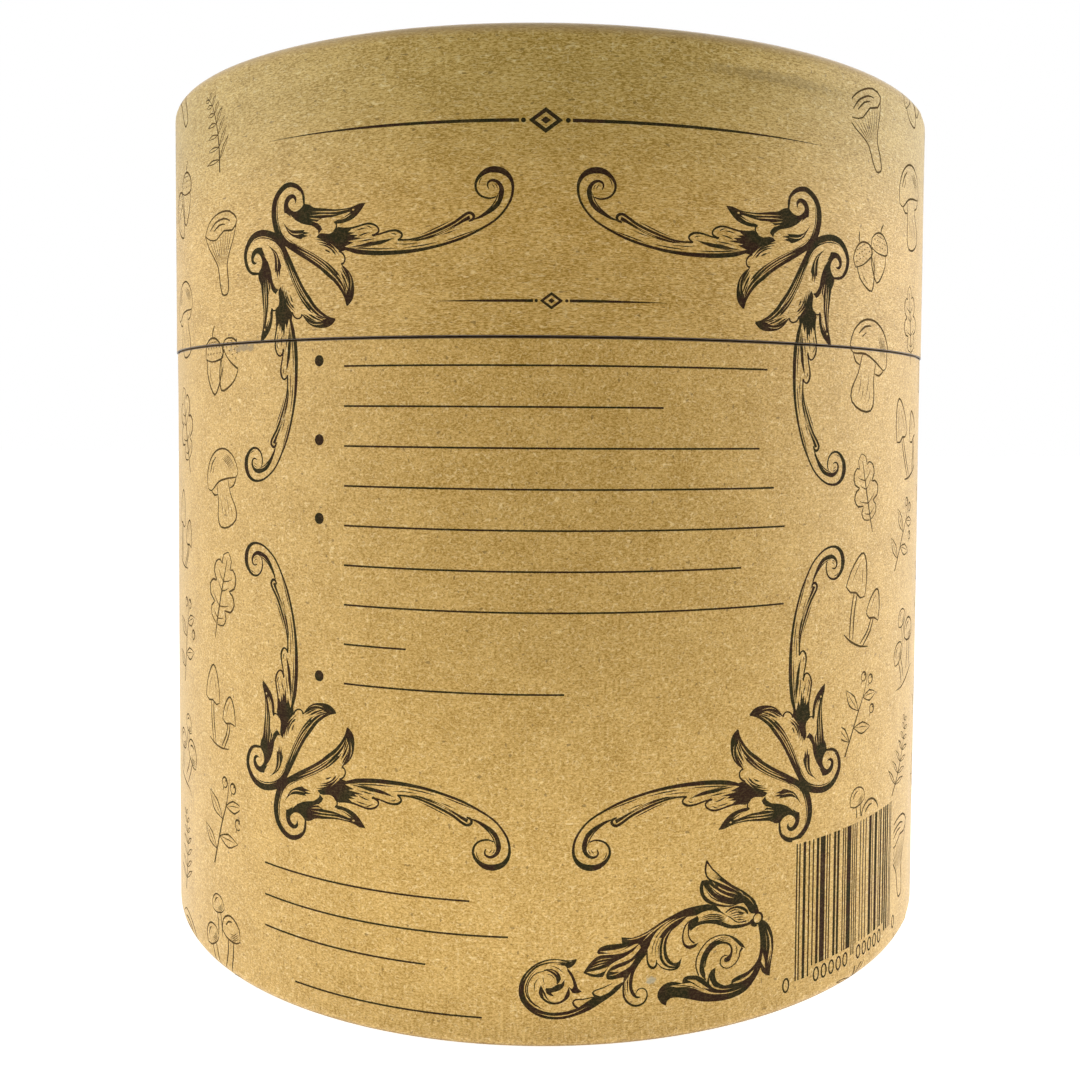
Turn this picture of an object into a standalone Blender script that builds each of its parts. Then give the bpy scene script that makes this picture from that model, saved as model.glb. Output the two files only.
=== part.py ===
"""A round kraft paperboard canister that holds a mushroom growing block and a spray bottle.

Run it with blender --background --python part.py, or from Blender's text editor. It is in
metres, with +Z up. The origin is the middle of the circle that the canister stands on, and
its back panel faces -Y.

The body is a board tube with a board disc in its bottom, an inner neck tube and a printed
paper round it. The lid is a shorter tube with a disc in its top and its own printed paper.
It slides over the neck and lifts off.
"""

import math

import bmesh
import bpy
from mathutils import Matrix

MM = 0.001

# Driving dimensions of the canister
OUTSIDE_RADIUS = 80.0 * MM
TOTAL_HEIGHT = 161.2 * MM
SEAM_HEIGHT = 112.6 * MM
SEAM_GAP = 0.3 * MM
LID_STANDS_PROUD = 0.2 * MM
NECK_ABOVE_SEAM = 22.0 * MM

# Board, paper and the gaps between glued pieces
WALL_BOARD = 2.0 * MM
NECK_BOARD = 1.5 * MM
DISC_BOARD = 1.6 * MM
PAPER = 0.3 * MM
GLUE_GAP = 0.3 * MM

# The rolled hems at the bottom of the body and the top of the lid
HEM_WIDTH = 4.8 * MM
HEM_DEPTH = 3.0 * MM
BODY_ROLL = 1.6 * MM
LID_ROLL = 1.7 * MM
PAPER_UNDER_ROLL = math.radians(45)

# The contents
BLOCK_RADIUS = 73.0 * MM
BLOCK_HEIGHT = 112.0 * MM
BLOCK_EDGE = 7.0 * MM
BOTTLE_RADIUS = 15.5 * MM
BOTTLE_LENGTH = 72.0 * MM
BOTTLE_HEEL = 3.0 * MM
SHOULDER_RADIUS = 7.0 * MM
BOTTLE_NECK_RADIUS = 8.0 * MM
BOTTLE_NECK_LENGTH = 8.0 * MM
CAP_RADIUS = 9.6 * MM
CAP_LENGTH = 31.0 * MM
CAP_EDGE = 1.5 * MM
BOTTLE_FOOT_X = -42.0 * MM  # so that the bottle's weight is over the middle of the block

# How finely the round pieces are faceted
CANISTER_SEGMENTS = 72
BOTTLE_SEGMENTS = 32
ROLL_STEPS = 4
EDGE_STEPS = 4
SHARP_ANGLE = math.radians(40)

# Worked out from the dimensions above
PAPER_BUILD = PAPER + GLUE_GAP
LID_BOARD_RADIUS = OUTSIDE_RADIUS - PAPER_BUILD
BODY_BOARD_RADIUS = LID_BOARD_RADIUS - LID_STANDS_PROUD
NECK_RADIUS = BODY_BOARD_RADIUS - WALL_BOARD - GLUE_GAP
BODY_TOP = SEAM_HEIGHT - SEAM_GAP / 2
LID_BOTTOM = SEAM_HEIGHT + SEAM_GAP / 2
LID_HEIGHT = TOTAL_HEIGHT - LID_BOTTOM
BASE_DISC_BOTTOM = HEM_DEPTH + GLUE_GAP
FLOOR_HEIGHT = BASE_DISC_BOTTOM + DISC_BOARD + GLUE_GAP
BOTTLE_NECK_FOOT = BOTTLE_LENGTH + BOTTLE_RADIUS - BOTTLE_NECK_RADIUS - SHOULDER_RADIUS


def clear_scene():
    for thing in list(bpy.data.objects):
        bpy.data.objects.remove(thing, do_unlink=True)


def finish(name, color, roughness, metallic=0.0):
    """A material with one Principled BSDF."""
    material = bpy.data.materials.new(name)
    material.use_nodes = True
    shader = material.node_tree.nodes["Principled BSDF"]
    shader.inputs["Base Color"].default_value = (*color, 1.0)
    shader.inputs["Roughness"].default_value = roughness
    shader.inputs["Metallic"].default_value = metallic
    return material


def group(name, height):
    """An empty that a group of pieces is placed by."""
    empty = bpy.data.objects.new(name, None)
    empty.location.z = height
    bpy.context.collection.objects.link(empty)
    return empty


def arc(centre, radius, start, end, steps):
    """Points of a profile, as (distance from the axis, height), round part of a circle."""
    angles = [start + (end - start) * i / steps for i in range(steps + 1)]
    return [(centre[0] + radius * math.cos(a), centre[1] + radius * math.sin(a)) for a in angles]


def turned(name, profile, material, segments, closed=True):
    """A solid turned round +Z from a profile, which either closes or starts and ends on the axis."""
    mesh = bpy.data.meshes.new(name)
    shape = bmesh.new()
    points = [shape.verts.new((radius, 0.0, height)) for radius, height in profile]
    pairs = list(zip(points, points[1:]))
    if closed:
        pairs.append((points[-1], points[0]))
    edges = [shape.edges.new(pair) for pair in pairs]
    bmesh.ops.spin(
        shape,
        geom=points + edges,
        cent=(0.0, 0.0, 0.0),
        axis=(0.0, 0.0, 1.0),
        angle=math.tau,
        steps=segments,
        use_merge=True,
    )
    bmesh.ops.remove_doubles(shape, verts=shape.verts, dist=0.001 * MM)
    bmesh.ops.recalc_face_normals(shape, faces=shape.faces)
    shape.to_mesh(mesh)
    shape.free()
    mesh.shade_smooth()
    mesh.set_sharp_from_angle(angle=SHARP_ANGLE)
    mesh.materials.append(material)
    piece = bpy.data.objects.new(name, mesh)
    bpy.context.collection.objects.link(piece)
    return piece


def place(piece, parent, height=0.0):
    piece.parent = parent
    piece.location.z = height
    return piece


def disc_profile(radius, thickness):
    """A plain disc whose underside is at height 0."""
    return [(0.0, thickness), (radius, thickness), (radius, 0.0), (0.0, 0.0)]


def hemmed_tube_profile(radius, height, roll):
    """A tube wall standing on a rolled hem: down its outside, round the hem and up its inside."""
    hem_inside = radius - HEM_WIDTH
    wall_inside = radius - WALL_BOARD
    outer_roll = arc((radius - roll, roll), roll, 0, -math.pi / 2, ROLL_STEPS)
    inner_roll = arc((hem_inside + roll, roll), roll, -math.pi / 2, -math.pi, ROLL_STEPS)
    return [
        (radius, height),
        *outer_roll,
        *inner_roll,
        (hem_inside, HEM_DEPTH),
        (wall_inside, HEM_DEPTH),
        (wall_inside, height),
    ]


def upside_down(profile, height):
    return [(radius, height - z) for radius, z in profile]


def wrap_profile(board_radius, height, roll, over_rim):
    """Paper that lies on a hemmed tube's outside, one gap off the board.

    It starts at the tube's open end and ends part of the way round the roll or, over a rim,
    at the end of the hem.
    """
    outline = []
    for offset in (PAPER_BUILD, GLUE_GAP):
        side = [(board_radius + offset, height)]
        if over_rim:
            side += arc((board_radius - roll, roll), roll + offset, 0, -math.pi / 2, ROLL_STEPS)
            hem_centre = (board_radius - HEM_WIDTH + roll, roll)
            side += arc(hem_centre, roll + offset, -math.pi / 2, -math.pi, ROLL_STEPS)
            side.append((board_radius - HEM_WIDTH - offset, HEM_DEPTH))
        else:
            side += arc((board_radius - roll, roll), roll + offset, 0, -PAPER_UNDER_ROLL, ROLL_STEPS)
        outline.append(side)
    outer, inner = outline
    return outer + inner[::-1]


def make_body(board, paper):
    body = group("canister_body", 0.0)
    place(
        turned(
            "body_tube",
            hemmed_tube_profile(BODY_BOARD_RADIUS, BODY_TOP, BODY_ROLL),
            board,
            CANISTER_SEGMENTS,
        ),
        body,
    )
    base_radius = BODY_BOARD_RADIUS - WALL_BOARD - GLUE_GAP
    place(
        turned(
            "base_disc",
            disc_profile(base_radius, DISC_BOARD),
            board,
            CANISTER_SEGMENTS,
            closed=False,
        ),
        body,
        BASE_DISC_BOTTOM,
    )
    neck_top = SEAM_HEIGHT + NECK_ABOVE_SEAM - FLOOR_HEIGHT
    neck_inside = NECK_RADIUS - NECK_BOARD
    neck_profile = [(NECK_RADIUS, neck_top), (NECK_RADIUS, 0.0), (neck_inside, 0.0), (neck_inside, neck_top)]
    place(turned("neck_tube", neck_profile, board, CANISTER_SEGMENTS), body, FLOOR_HEIGHT)
    place(
        turned(
            "body_wrap",
            wrap_profile(BODY_BOARD_RADIUS, BODY_TOP, BODY_ROLL, over_rim=False),
            paper,
            CANISTER_SEGMENTS,
        ),
        body,
    )


def make_lid(board, paper):
    """The lid is drawn standing on its rim, like the body, and turned over."""
    lid = group("lid", LID_BOTTOM)
    board_height = LID_HEIGHT - PAPER_BUILD
    tube = hemmed_tube_profile(LID_BOARD_RADIUS, board_height, LID_ROLL)
    place(
        turned("lid_tube", upside_down(tube, board_height), board, CANISTER_SEGMENTS),
        lid,
    )
    disc_radius = LID_BOARD_RADIUS - WALL_BOARD - GLUE_GAP
    disc_height = board_height - HEM_DEPTH - GLUE_GAP - DISC_BOARD
    place(
        turned(
            "lid_disc",
            disc_profile(disc_radius, DISC_BOARD),
            board,
            CANISTER_SEGMENTS,
            closed=False,
        ),
        lid,
        disc_height,
    )
    wrap = wrap_profile(LID_BOARD_RADIUS, board_height, LID_ROLL, over_rim=True)
    place(
        turned("lid_wrap", upside_down(wrap, board_height), paper, CANISTER_SEGMENTS),
        lid,
    )


def block_profile():
    """A squat block with rounded edges, from the middle of its top to the middle of its foot."""
    flat = BLOCK_RADIUS - BLOCK_EDGE
    top_edge = arc((flat, BLOCK_HEIGHT - BLOCK_EDGE), BLOCK_EDGE, math.pi / 2, 0, EDGE_STEPS)
    foot_edge = arc((flat, BLOCK_EDGE), BLOCK_EDGE, 0, -math.pi / 2, EDGE_STEPS)
    return [(0.0, BLOCK_HEIGHT), *top_edge, *foot_edge, (0.0, 0.0)]


def bottle_profile():
    """A straight bottle with a round shoulder and a short neck, its foot at height 0."""
    shoulder = arc(
        (BOTTLE_RADIUS - SHOULDER_RADIUS, BOTTLE_LENGTH - SHOULDER_RADIUS),
        SHOULDER_RADIUS,
        math.pi / 2,
        0,
        EDGE_STEPS,
    )
    heel = arc((BOTTLE_RADIUS - BOTTLE_HEEL, BOTTLE_HEEL), BOTTLE_HEEL, 0, -math.pi / 2, EDGE_STEPS)
    neck_top = BOTTLE_NECK_FOOT + BOTTLE_NECK_LENGTH
    return [
        (0.0, neck_top),
        (BOTTLE_NECK_RADIUS, neck_top),
        (BOTTLE_NECK_RADIUS, BOTTLE_NECK_FOOT),
        *shoulder,
        *heel,
        (0.0, 0.0),
    ]


def cap_profile():
    """A cap with a closed rounded top and a socket for the bottle's neck, open at height 0."""
    socket_radius = BOTTLE_NECK_RADIUS + GLUE_GAP
    socket_depth = BOTTLE_NECK_LENGTH
    edge = arc((CAP_RADIUS - CAP_EDGE, CAP_LENGTH - CAP_EDGE), CAP_EDGE, math.pi / 2, 0, EDGE_STEPS)
    return [
        (0.0, CAP_LENGTH),
        *edge,
        (CAP_RADIUS, 0.0),
        (socket_radius, 0.0),
        (socket_radius, socket_depth),
        (0.0, socket_depth),
    ]


def lie_down(piece, parent, along, height):
    """Lays a piece that was turned round +Z on its side, its foot at one end and its axis along +X."""
    piece.parent = parent
    piece.matrix_local = Matrix.Translation((along, 0.0, height)) @ Matrix.Rotation(math.pi / 2, 4, "Y")
    return piece


def make_contents(mycelium, clear_plastic, white_plastic):
    contents = group("contents", FLOOR_HEIGHT)
    place(
        turned("mycelium_block", block_profile(), mycelium, CANISTER_SEGMENTS, closed=False),
        contents,
    )
    axis_height = BLOCK_HEIGHT + GLUE_GAP + BOTTLE_RADIUS
    bottle = turned("spray_bottle", bottle_profile(), clear_plastic, BOTTLE_SEGMENTS, closed=False)
    lie_down(bottle, contents, BOTTLE_FOOT_X, axis_height)
    cap = turned("spray_cap", cap_profile(), white_plastic, BOTTLE_SEGMENTS, closed=False)
    lie_down(cap, contents, BOTTLE_FOOT_X + BOTTLE_NECK_FOOT + GLUE_GAP, axis_height)


def main():
    clear_scene()
    paper = finish("kraft_paper", (0.50, 0.33, 0.16), 0.82)
    board = finish("kraft_board", (0.42, 0.29, 0.16), 0.9)
    mycelium = finish("mycelium", (0.78, 0.72, 0.60), 0.95)
    clear_plastic = finish("bottle_plastic", (0.80, 0.84, 0.85), 0.2)
    white_plastic = finish("cap_plastic", (0.82, 0.82, 0.80), 0.35)
    make_body(board, paper)
    make_lid(board, paper)
    make_contents(mycelium, clear_plastic, white_plastic)


main()
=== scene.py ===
# %% [markdown]
# # A mushroom grow kit in a kraft paperboard canister
#
# Three things make it look real: brown paper with fibres in it, a dark print that lies in
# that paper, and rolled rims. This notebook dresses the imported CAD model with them, one step
# at a time.
#
# The frame loads first. It holds the solids at their real size, and nothing here moves them.

import math
import random

import bmesh
import bpy
import numpy as np
from mathutils import Matrix, Vector
from mathutils.geometry import delaunay_2d_cdt


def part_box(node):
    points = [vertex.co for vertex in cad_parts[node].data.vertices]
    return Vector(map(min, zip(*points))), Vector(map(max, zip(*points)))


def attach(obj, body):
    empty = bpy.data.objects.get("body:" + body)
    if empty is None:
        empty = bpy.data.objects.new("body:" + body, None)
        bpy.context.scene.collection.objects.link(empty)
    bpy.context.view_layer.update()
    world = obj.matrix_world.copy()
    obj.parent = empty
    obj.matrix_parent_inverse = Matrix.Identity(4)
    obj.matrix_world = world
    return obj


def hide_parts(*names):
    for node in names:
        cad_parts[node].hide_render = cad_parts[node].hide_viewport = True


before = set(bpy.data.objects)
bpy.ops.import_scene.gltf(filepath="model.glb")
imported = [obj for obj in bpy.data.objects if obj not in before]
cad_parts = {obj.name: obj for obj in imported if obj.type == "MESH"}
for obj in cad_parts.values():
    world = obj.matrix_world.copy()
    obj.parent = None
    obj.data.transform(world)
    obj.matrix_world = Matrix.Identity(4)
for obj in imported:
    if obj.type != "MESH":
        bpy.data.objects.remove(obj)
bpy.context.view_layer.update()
MM = 0.001

# %% [markdown]
# ## Sizes
#
# The two printed papers give the sizes that the print and the rims need. Everything on the
# paper is drawn flat, in millimetres: `u` runs to the right round the canister from the line
# that faces the camera, and `v` is the height above the floor.

# %% Read the sizes of the two papers
body_low, body_high = (Vector(corner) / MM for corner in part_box("body_wrap"))
lid_low, lid_high = (Vector(corner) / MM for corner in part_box("lid_wrap"))
BODY_RADIUS, BODY_TOP = body_high.x, body_high.z
LID_RADIUS, LID_BOTTOM, TOTAL_HEIGHT = lid_high.x, lid_low.z, lid_high.z
PAPER = 0.3
BODY_ROLL = 2.2
BODY_ROLL_HEIGHT = 1.6
LID_ROLL = 2.3
HEM_FLAT = 1.4
HEM_LIP = 1.3
AROUND = math.tau * LID_RADIUS
print(f"lid radius {LID_RADIUS:.1f}, body radius {BODY_RADIUS:.1f}, height {TOTAL_HEIGHT:.1f}")

# %% [markdown]
# ## The camera
#
# The photograph was taken from close by, a little above the middle of the canister, so the
# sides lean in towards the bottom and the seam curves down at its ends. A fit to the outline
# and the seam gave the lens, the place and the tilt. The picture is a crop of a larger one,
# and its middle isn't the lens's middle, which is what the camera's shift stands for.

# %% Place the camera
PHOTO_SIDE = 1080
FOCAL_PIXELS = 1106.0
LENS_MIDDLE = (571.25, 461.79)
CAMERA_PLACE = Vector((0.0, -251.76, 99.7)) * MM
YAW, PITCH, ROLL = 0.0188, -0.0375, 0.0071

ahead = Vector((math.sin(YAW) * math.cos(PITCH), math.cos(YAW) * math.cos(PITCH), math.sin(PITCH)))
level_right = Vector((math.cos(YAW), -math.sin(YAW), 0.0))
level_up = level_right.cross(ahead)
right = math.cos(ROLL) * level_right + math.sin(ROLL) * level_up
up = right.cross(ahead)
camera_data = bpy.data.cameras.new("camera")
camera_data.sensor_width = 36.0
camera_data.lens = FOCAL_PIXELS / PHOTO_SIDE * camera_data.sensor_width
camera_data.shift_x = (PHOTO_SIDE / 2 - LENS_MIDDLE[0]) / PHOTO_SIDE
camera_data.shift_y = (LENS_MIDDLE[1] - PHOTO_SIDE / 2) / PHOTO_SIDE
camera_data.clip_start = 0.01
camera = bpy.data.objects.new("camera", camera_data)
camera.matrix_world = Matrix.Translation(CAMERA_PLACE) @ Matrix((right, up, -ahead)).transposed().to_4x4()
bpy.context.scene.collection.objects.link(camera)
bpy.context.scene.camera = camera
print(f"lens {camera_data.lens:.2f} mm, shift {camera_data.shift_x:.4f} {camera_data.shift_y:.4f}")

# %% [markdown]
# ## Doing sums with sockets
#
# A material is a sum of small ideas: a cloudy tone, plus fibres, minus specks. In the node
# editor that takes dozens of Math nodes. A small class that wraps a socket lets Python's own
# `+`, `-` and `*` add those nodes, so a finish reads like a recipe.

# %% A socket that takes part in sums
class Wire:
    """A value on its way through a node tree. A sum on it adds a Math node."""

    def __init__(self, tree, socket=None):
        self.tree, self.socket = tree, socket

    def node(self, kind, settings=None, sockets=None, output=0):
        """Adds a node of that type. Settings go on the node first, then values or wires on its sockets."""
        node = self.tree.nodes.new(kind)
        for name, value in (settings or {}).items():
            if name == "stops":
                while len(node.color_ramp.elements) < len(value):
                    node.color_ramp.elements.new(0.5)
                for stop, (place, color) in zip(node.color_ramp.elements, value):
                    stop.position, stop.color = place, (*color, 1.0)
            else:
                setattr(node, name, value)
        for name, value in (sockets or {}).items():
            if isinstance(value, Wire):
                self.tree.links.new(value.socket, node.inputs[name])
            else:
                node.inputs[name].default_value = value
        return Wire(self.tree, node.outputs[output])

    def sum(self, operation, first, second, clamp=False):
        return self.node("ShaderNodeMath", {"operation": operation, "use_clamp": clamp}, {0: first, 1: second})

    def __add__(self, other):
        return self.sum("ADD", self, other)

    __radd__ = __add__

    def __sub__(self, other):
        return self.sum("SUBTRACT", self, other)

    def __rsub__(self, other):
        return self.sum("SUBTRACT", other, self)

    def __mul__(self, other):
        return self.sum("MULTIPLY", self, other)

    __rmul__ = __mul__

    def __truediv__(self, other):
        return self.sum("DIVIDE", self, other)

    def magnitude(self):
        return self.sum("ABSOLUTE", self, 0.0)

    def between(self, low, high):
        """0 at low, 1 at high, with a soft step between them."""
        spread = {"interpolation_type": "SMOOTHSTEP"}
        return self.node("ShaderNodeMapRange", spread, {"Value": self, "From Min": low, "From Max": high})

    def blend(self, under, over):
        """A colour that goes from under to over as this wire goes from 0 to 1."""
        settings = {"data_type": "RGBA"}
        colours = [value if isinstance(value, Wire) else (*value, 1.0) for value in (under, over)]
        return self.node("ShaderNodeMix", settings, {0: self, 6: colours[0], 7: colours[1]}, output=2)

    def scaled(self, factors):
        """A vector stretched along its axes."""
        return self.node("ShaderNodeVectorMath", {"operation": "MULTIPLY"}, {0: self, 1: factors})

    def moved(self, offset):
        return self.node("ShaderNodeVectorMath", {"operation": "ADD"}, {0: self, 1: offset})

    def noise(self, scale, detail=2.0, roughness=0.5, distortion=0.0):
        """Smooth noise from 0 to 1, about 0.5 on average."""
        sockets = {
            "Vector": self, "Scale": scale, "Detail": detail,
            "Roughness": roughness, "Distortion": distortion,
        }
        return self.node("ShaderNodeTexNoise", None, sockets)


def new_material(name):
    """An empty material: its starting wire, its shader and the shader's sockets."""
    material = bpy.data.materials.new(name)
    material.use_nodes = True
    shader = material.node_tree.nodes["Principled BSDF"]
    return material, Wire(material.node_tree), shader


print("wires are ready")

# %% [markdown]
# ## Light
#
# The photograph was taken on a light table against a white wall, in a darker room. So the
# canister is bright at its foot and along both sides, and its front is darkest near the top.
# The table's glow is two disc lamps, which are soft because they are large and close. Soft
# boxes stand at the sides, and one behind catches the rim. The sky is white behind the
# canister and dim behind the camera, except where the camera looks straight at it.

# %% Set up the lamps and the sky
def soft_light(name, place, aim, size, power, shape="RECTANGLE"):
    """A lamp that faces a point. Places are in metres, power in watts. The camera can't see it."""
    lamp = bpy.data.lights.new(name, "AREA")
    lamp.shape = shape
    lamp.size, lamp.size_y = size
    lamp.energy = power
    holder = bpy.data.objects.new(name, lamp)
    holder.location = place
    holder.rotation_mode = "QUATERNION"
    holder.rotation_quaternion = (Vector(aim) - Vector(place)).to_track_quat("-Z", "Y")
    holder.visible_camera = False
    bpy.context.scene.collection.objects.link(holder)
    return holder


MIDDLE = (0.0, 0.0, 0.08)
soft_light("left_box", (-0.60, -0.16, 0.12), MIDDLE, (0.5, 0.6), 4.8)
soft_light("right_box", (0.60, -0.02, 0.10), MIDDLE, (0.5, 0.6), 5.9)
soft_light("back_box", (0.05, 0.22, 0.45), (0, 0, 0.15), (0.5, 0.3), 1.0)
soft_light("table_glow", (0, -0.055, 0.0005), (0, -0.055, 1), (0.35, 0.35), 0.18, "DISK")
soft_light("front_glow", (0, -0.17, 0.0005), (0, -0.17, 1), (0.16, 0.16), 0.075, "DISK")

DIM_SIDE = (0.22, -0.92, 0.33)
DIM, BRIGHT, WHITE = 0.075, 0.7, 1.0
sky = bpy.data.worlds.new("white_tent")
sky.use_nodes = True
wire = Wire(sky.node_tree)
toward = wire.node("ShaderNodeTexCoord", output=0)
frontness = toward.node("ShaderNodeVectorMath", {"operation": "DOT_PRODUCT"}, {0: toward, 1: DIM_SIDE}, output=1)
strength = BRIGHT - frontness.between(-0.35, 0.55) * (BRIGHT - DIM)
seen = wire.node("ShaderNodeLightPath", output=0)
strength = seen * WHITE + (1.0 - seen) * strength
backdrop = sky.node_tree.nodes["Background"]
backdrop.inputs["Color"].default_value = (1.0, 1.0, 1.0, 1.0)
sky.node_tree.links.new(strength.socket, backdrop.inputs["Strength"])
bpy.context.scene.world = sky
bpy.context.scene.view_settings.view_transform = "Standard"
print("five lamps and a sky")

# %% [markdown]
# ## Kraft paper
#
# Kraft paper isn't one brown. It has a cloudy tone a few millimetres wide, a fine grain that
# runs round the canister, pale hairs where long fibres lie on top, and a few dark specks of
# bark. Each is a noise of its own, read from the flat sheet's millimetres, so the grain
# follows the paper round the rims as it does on a real sheet.
#
# A hair is the place where a smooth noise passes through its middle value: that is a thin
# curved line, and a second noise cuts it into short lengths.

# %% Kraft paper and the ink on it
def hairs(sheet, scale, width, cut_scale, cut_from, cut_to):
    """Short curved hairs: 1 on a hair, 0 beside it."""
    lines = 1.0 - (sheet.noise(scale, 0.0) - 0.5).magnitude().between(0.0, width)
    pieces = sheet.noise(cut_scale, 0.0).between(cut_from, cut_to)
    return lines * pieces


def kraft_tone(sheet, run=(1.0, 1.0, 1.0)):
    """The paper's tone about 0, and its pale hairs, dark hairs and specks from 0 to 1.

    The run stretches all of them along the way that the fibres lie.
    """
    sheet = sheet.scaled(run)
    clouds = sheet.noise(0.16, 2.0)
    flocks = sheet.scaled((1.0, 1.25, 1.0)).noise(1.15, 3.0, 0.72)
    grain = sheet.scaled((0.85, 1.25, 1.0)).noise(2.7, 2.0, 0.8)
    blotches = sheet.moved((4.0, 9.0, 2.0)).noise(0.42, 1.0)
    tone = clouds * 0.28 + blotches * 0.18 + flocks * 0.80 + grain * 1.75 - 1.505
    pale = hairs(sheet, 1.05, 0.065, 1.15, 0.50, 0.68)
    pale = pale + hairs(sheet.moved((37.0, 11.0, 5.0)).scaled((1.0, 1.4, 1.0)), 1.5, 0.07, 1.3, 0.50, 0.68)
    dark = hairs(sheet.moved((-19.0, 53.0, 9.0)).scaled((1.3, 0.9, 1.0)), 1.2, 0.06, 1.2, 0.56, 0.70)
    specks = sheet.moved((5.0, 5.0, 3.0)).scaled((1.15, 0.9, 1.0)).noise(1.25, 0.0).between(0.785, 0.82)
    return tone, pale, dark, specks


def stained_and_shaded(sheet, colour, middle, reach, patch_colour, amount=0.6):
    """The colour with a small rough-edged dark patch round a place on the sheet. It serves for real stains and for
    painted shade.
    """
    near = sheet.moved((-middle[0], -middle[1], 0.0)).scaled((1.0 / reach[0], 1.0 / reach[1], 0.0))
    away = near.node("ShaderNodeVectorMath", {"operation": "LENGTH"}, {0: near}, output=1)
    rough = sheet.moved((60.0, 20.0, 4.0)).noise(0.9, 2.0) * 1.6
    return ((1.75 - away - rough).between(0.0, 0.5) * amount).blend(colour, patch_colour)


def paper_material(name, run, contrast, rim_painted_shade):
    """Bare kraft paper, with a dark line at the seam that is partly dirty cut edges and partly painted shade of the
    gap. Painted shade darkens it towards the lid's rim and along the dent under the rim, and a painted highlight
    lightens the rolled rim.
    """
    material, wire, shader = new_material(name)
    sheet = wire.node("ShaderNodeUVMap", {"uv_map": "sheet"})
    height_on_sheet = wire.node("ShaderNodeSeparateXYZ", None, {0: sheet}, output=1)
    tone, pale, dark, specks = kraft_tone(sheet, run)
    colour = wire.sum("ADD", tone * contrast, 0.5, clamp=True).blend((0.252, 0.136, 0.006), (0.548, 0.356, 0.106))
    colour = (dark * 0.50).blend(colour, (0.20, 0.115, 0.025))
    colour = (pale * 0.48).blend(colour, (0.68, 0.51, 0.24))
    colour = (specks * 0.62).blend(colour, (0.125, 0.066, 0.006))
    # Painted shade: the lid's paper darkens towards its rim, where less light falls.
    colour = colour.scaled(height_on_sheet.between(128.0, 156.0).blend((1.0, 1.0, 1.0), rim_painted_shade))
    # Painted highlight: the rolled rim is lighter, as where light from above catches it.
    colour = (height_on_sheet.between(158.6, 161.0) * 0.55).blend(colour, (0.66, 0.47, 0.25))
    # Painted shade along the lower flank of the dent under the lid's rim.
    colour = stained_and_shaded(sheet, colour, (38.0, 155.4), (17.0, 1.3), (0.17, 0.12, 0.04), 0.3)
    colour = stained_and_shaded(sheet, colour, (-58.3, 111.7), (5.5, 0.8), (0.12, 0.095, 0.05))
    colour = stained_and_shaded(sheet, colour, (17.0, 10.2), (1.3, 0.9), (0.24, 0.25, 0.19))
    # A dark line along the seam: partly dirty cut edges, partly painted shade of the gap between lid and body.
    from_seam = (height_on_sheet - (BODY_TOP + LID_BOTTOM) / 2).magnitude()
    colour = (1.0 - from_seam.between(SEAM_EDGE, SEAM_EDGE + 0.14)).blend(colour, (0.05, 0.028, 0.010))
    height = tone * 0.6 + pale * 0.35 - specks * 0.2
    bump = wire.node("ShaderNodeBump", None, {"Height": height, "Strength": 0.5, "Distance": 0.08 * MM})
    wire.tree.links.new(colour.socket, shader.inputs["Base Color"])
    wire.tree.links.new(bump.socket, shader.inputs["Normal"])
    shader.inputs["Roughness"].default_value = 0.62
    shader.inputs["Specular IOR Level"].default_value = 0.35
    shader.inputs["Sheen Weight"].default_value = 0.3
    shader.inputs["Sheen Roughness"].default_value = 0.35
    return material


def ink_material(name, cool, warm, worn):
    """Dark ink that has soaked into the paper. It is thinner where fibres stand up."""
    material, wire, shader = new_material(name)
    sheet = wire.node("ShaderNodeUVMap", {"uv_map": "sheet"})
    tone, pale, dark, specks = kraft_tone(sheet)
    colour = sheet.moved((3.0, 7.0, 1.0)).noise(0.22, 1.0).between(0.42, 0.58).blend(cool, warm)
    colour = wire.sum("ADD", tone * 1.8, 0.12, clamp=True).blend(colour, worn)
    colour = (pale * 0.16).blend(colour, (0.14, 0.095, 0.045))
    height = tone * 0.5 + pale * 0.3
    bump = wire.node("ShaderNodeBump", None, {"Height": height, "Strength": 0.3, "Distance": 0.05 * MM})
    wire.tree.links.new(colour.socket, shader.inputs["Base Color"])
    wire.tree.links.new(bump.socket, shader.inputs["Normal"])
    shader.inputs["Roughness"].default_value = 0.85
    shader.inputs["Specular IOR Level"].default_value = 0.05
    return material


SEAM_EDGE = 0.2
KRAFT = paper_material("kraft_paper", (1.0, 1.0, 1.0), 1.75, (1.0, 1.0, 1.0))
# The lid's copy has fibres that run round it, more contrast, and painted shade towards its rim.
LID_KRAFT = paper_material("lid_kraft_paper", (0.62, 1.3, 1.0), 2.15, (0.80, 0.87, 0.87))
INK = ink_material("black_ink", (0.015, 0.014, 0.004), (0.022, 0.010, 0.005), (0.060, 0.038, 0.014))
BROWN_INK = ink_material("brown_ink", (0.045, 0.028, 0.008), (0.062, 0.034, 0.011), (0.105, 0.068, 0.024))
print("materials:", KRAFT.name, LID_KRAFT.name, INK.name, BROWN_INK.name)

# %% [markdown]
# ## The floor
#
# The light table's pale top.

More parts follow.
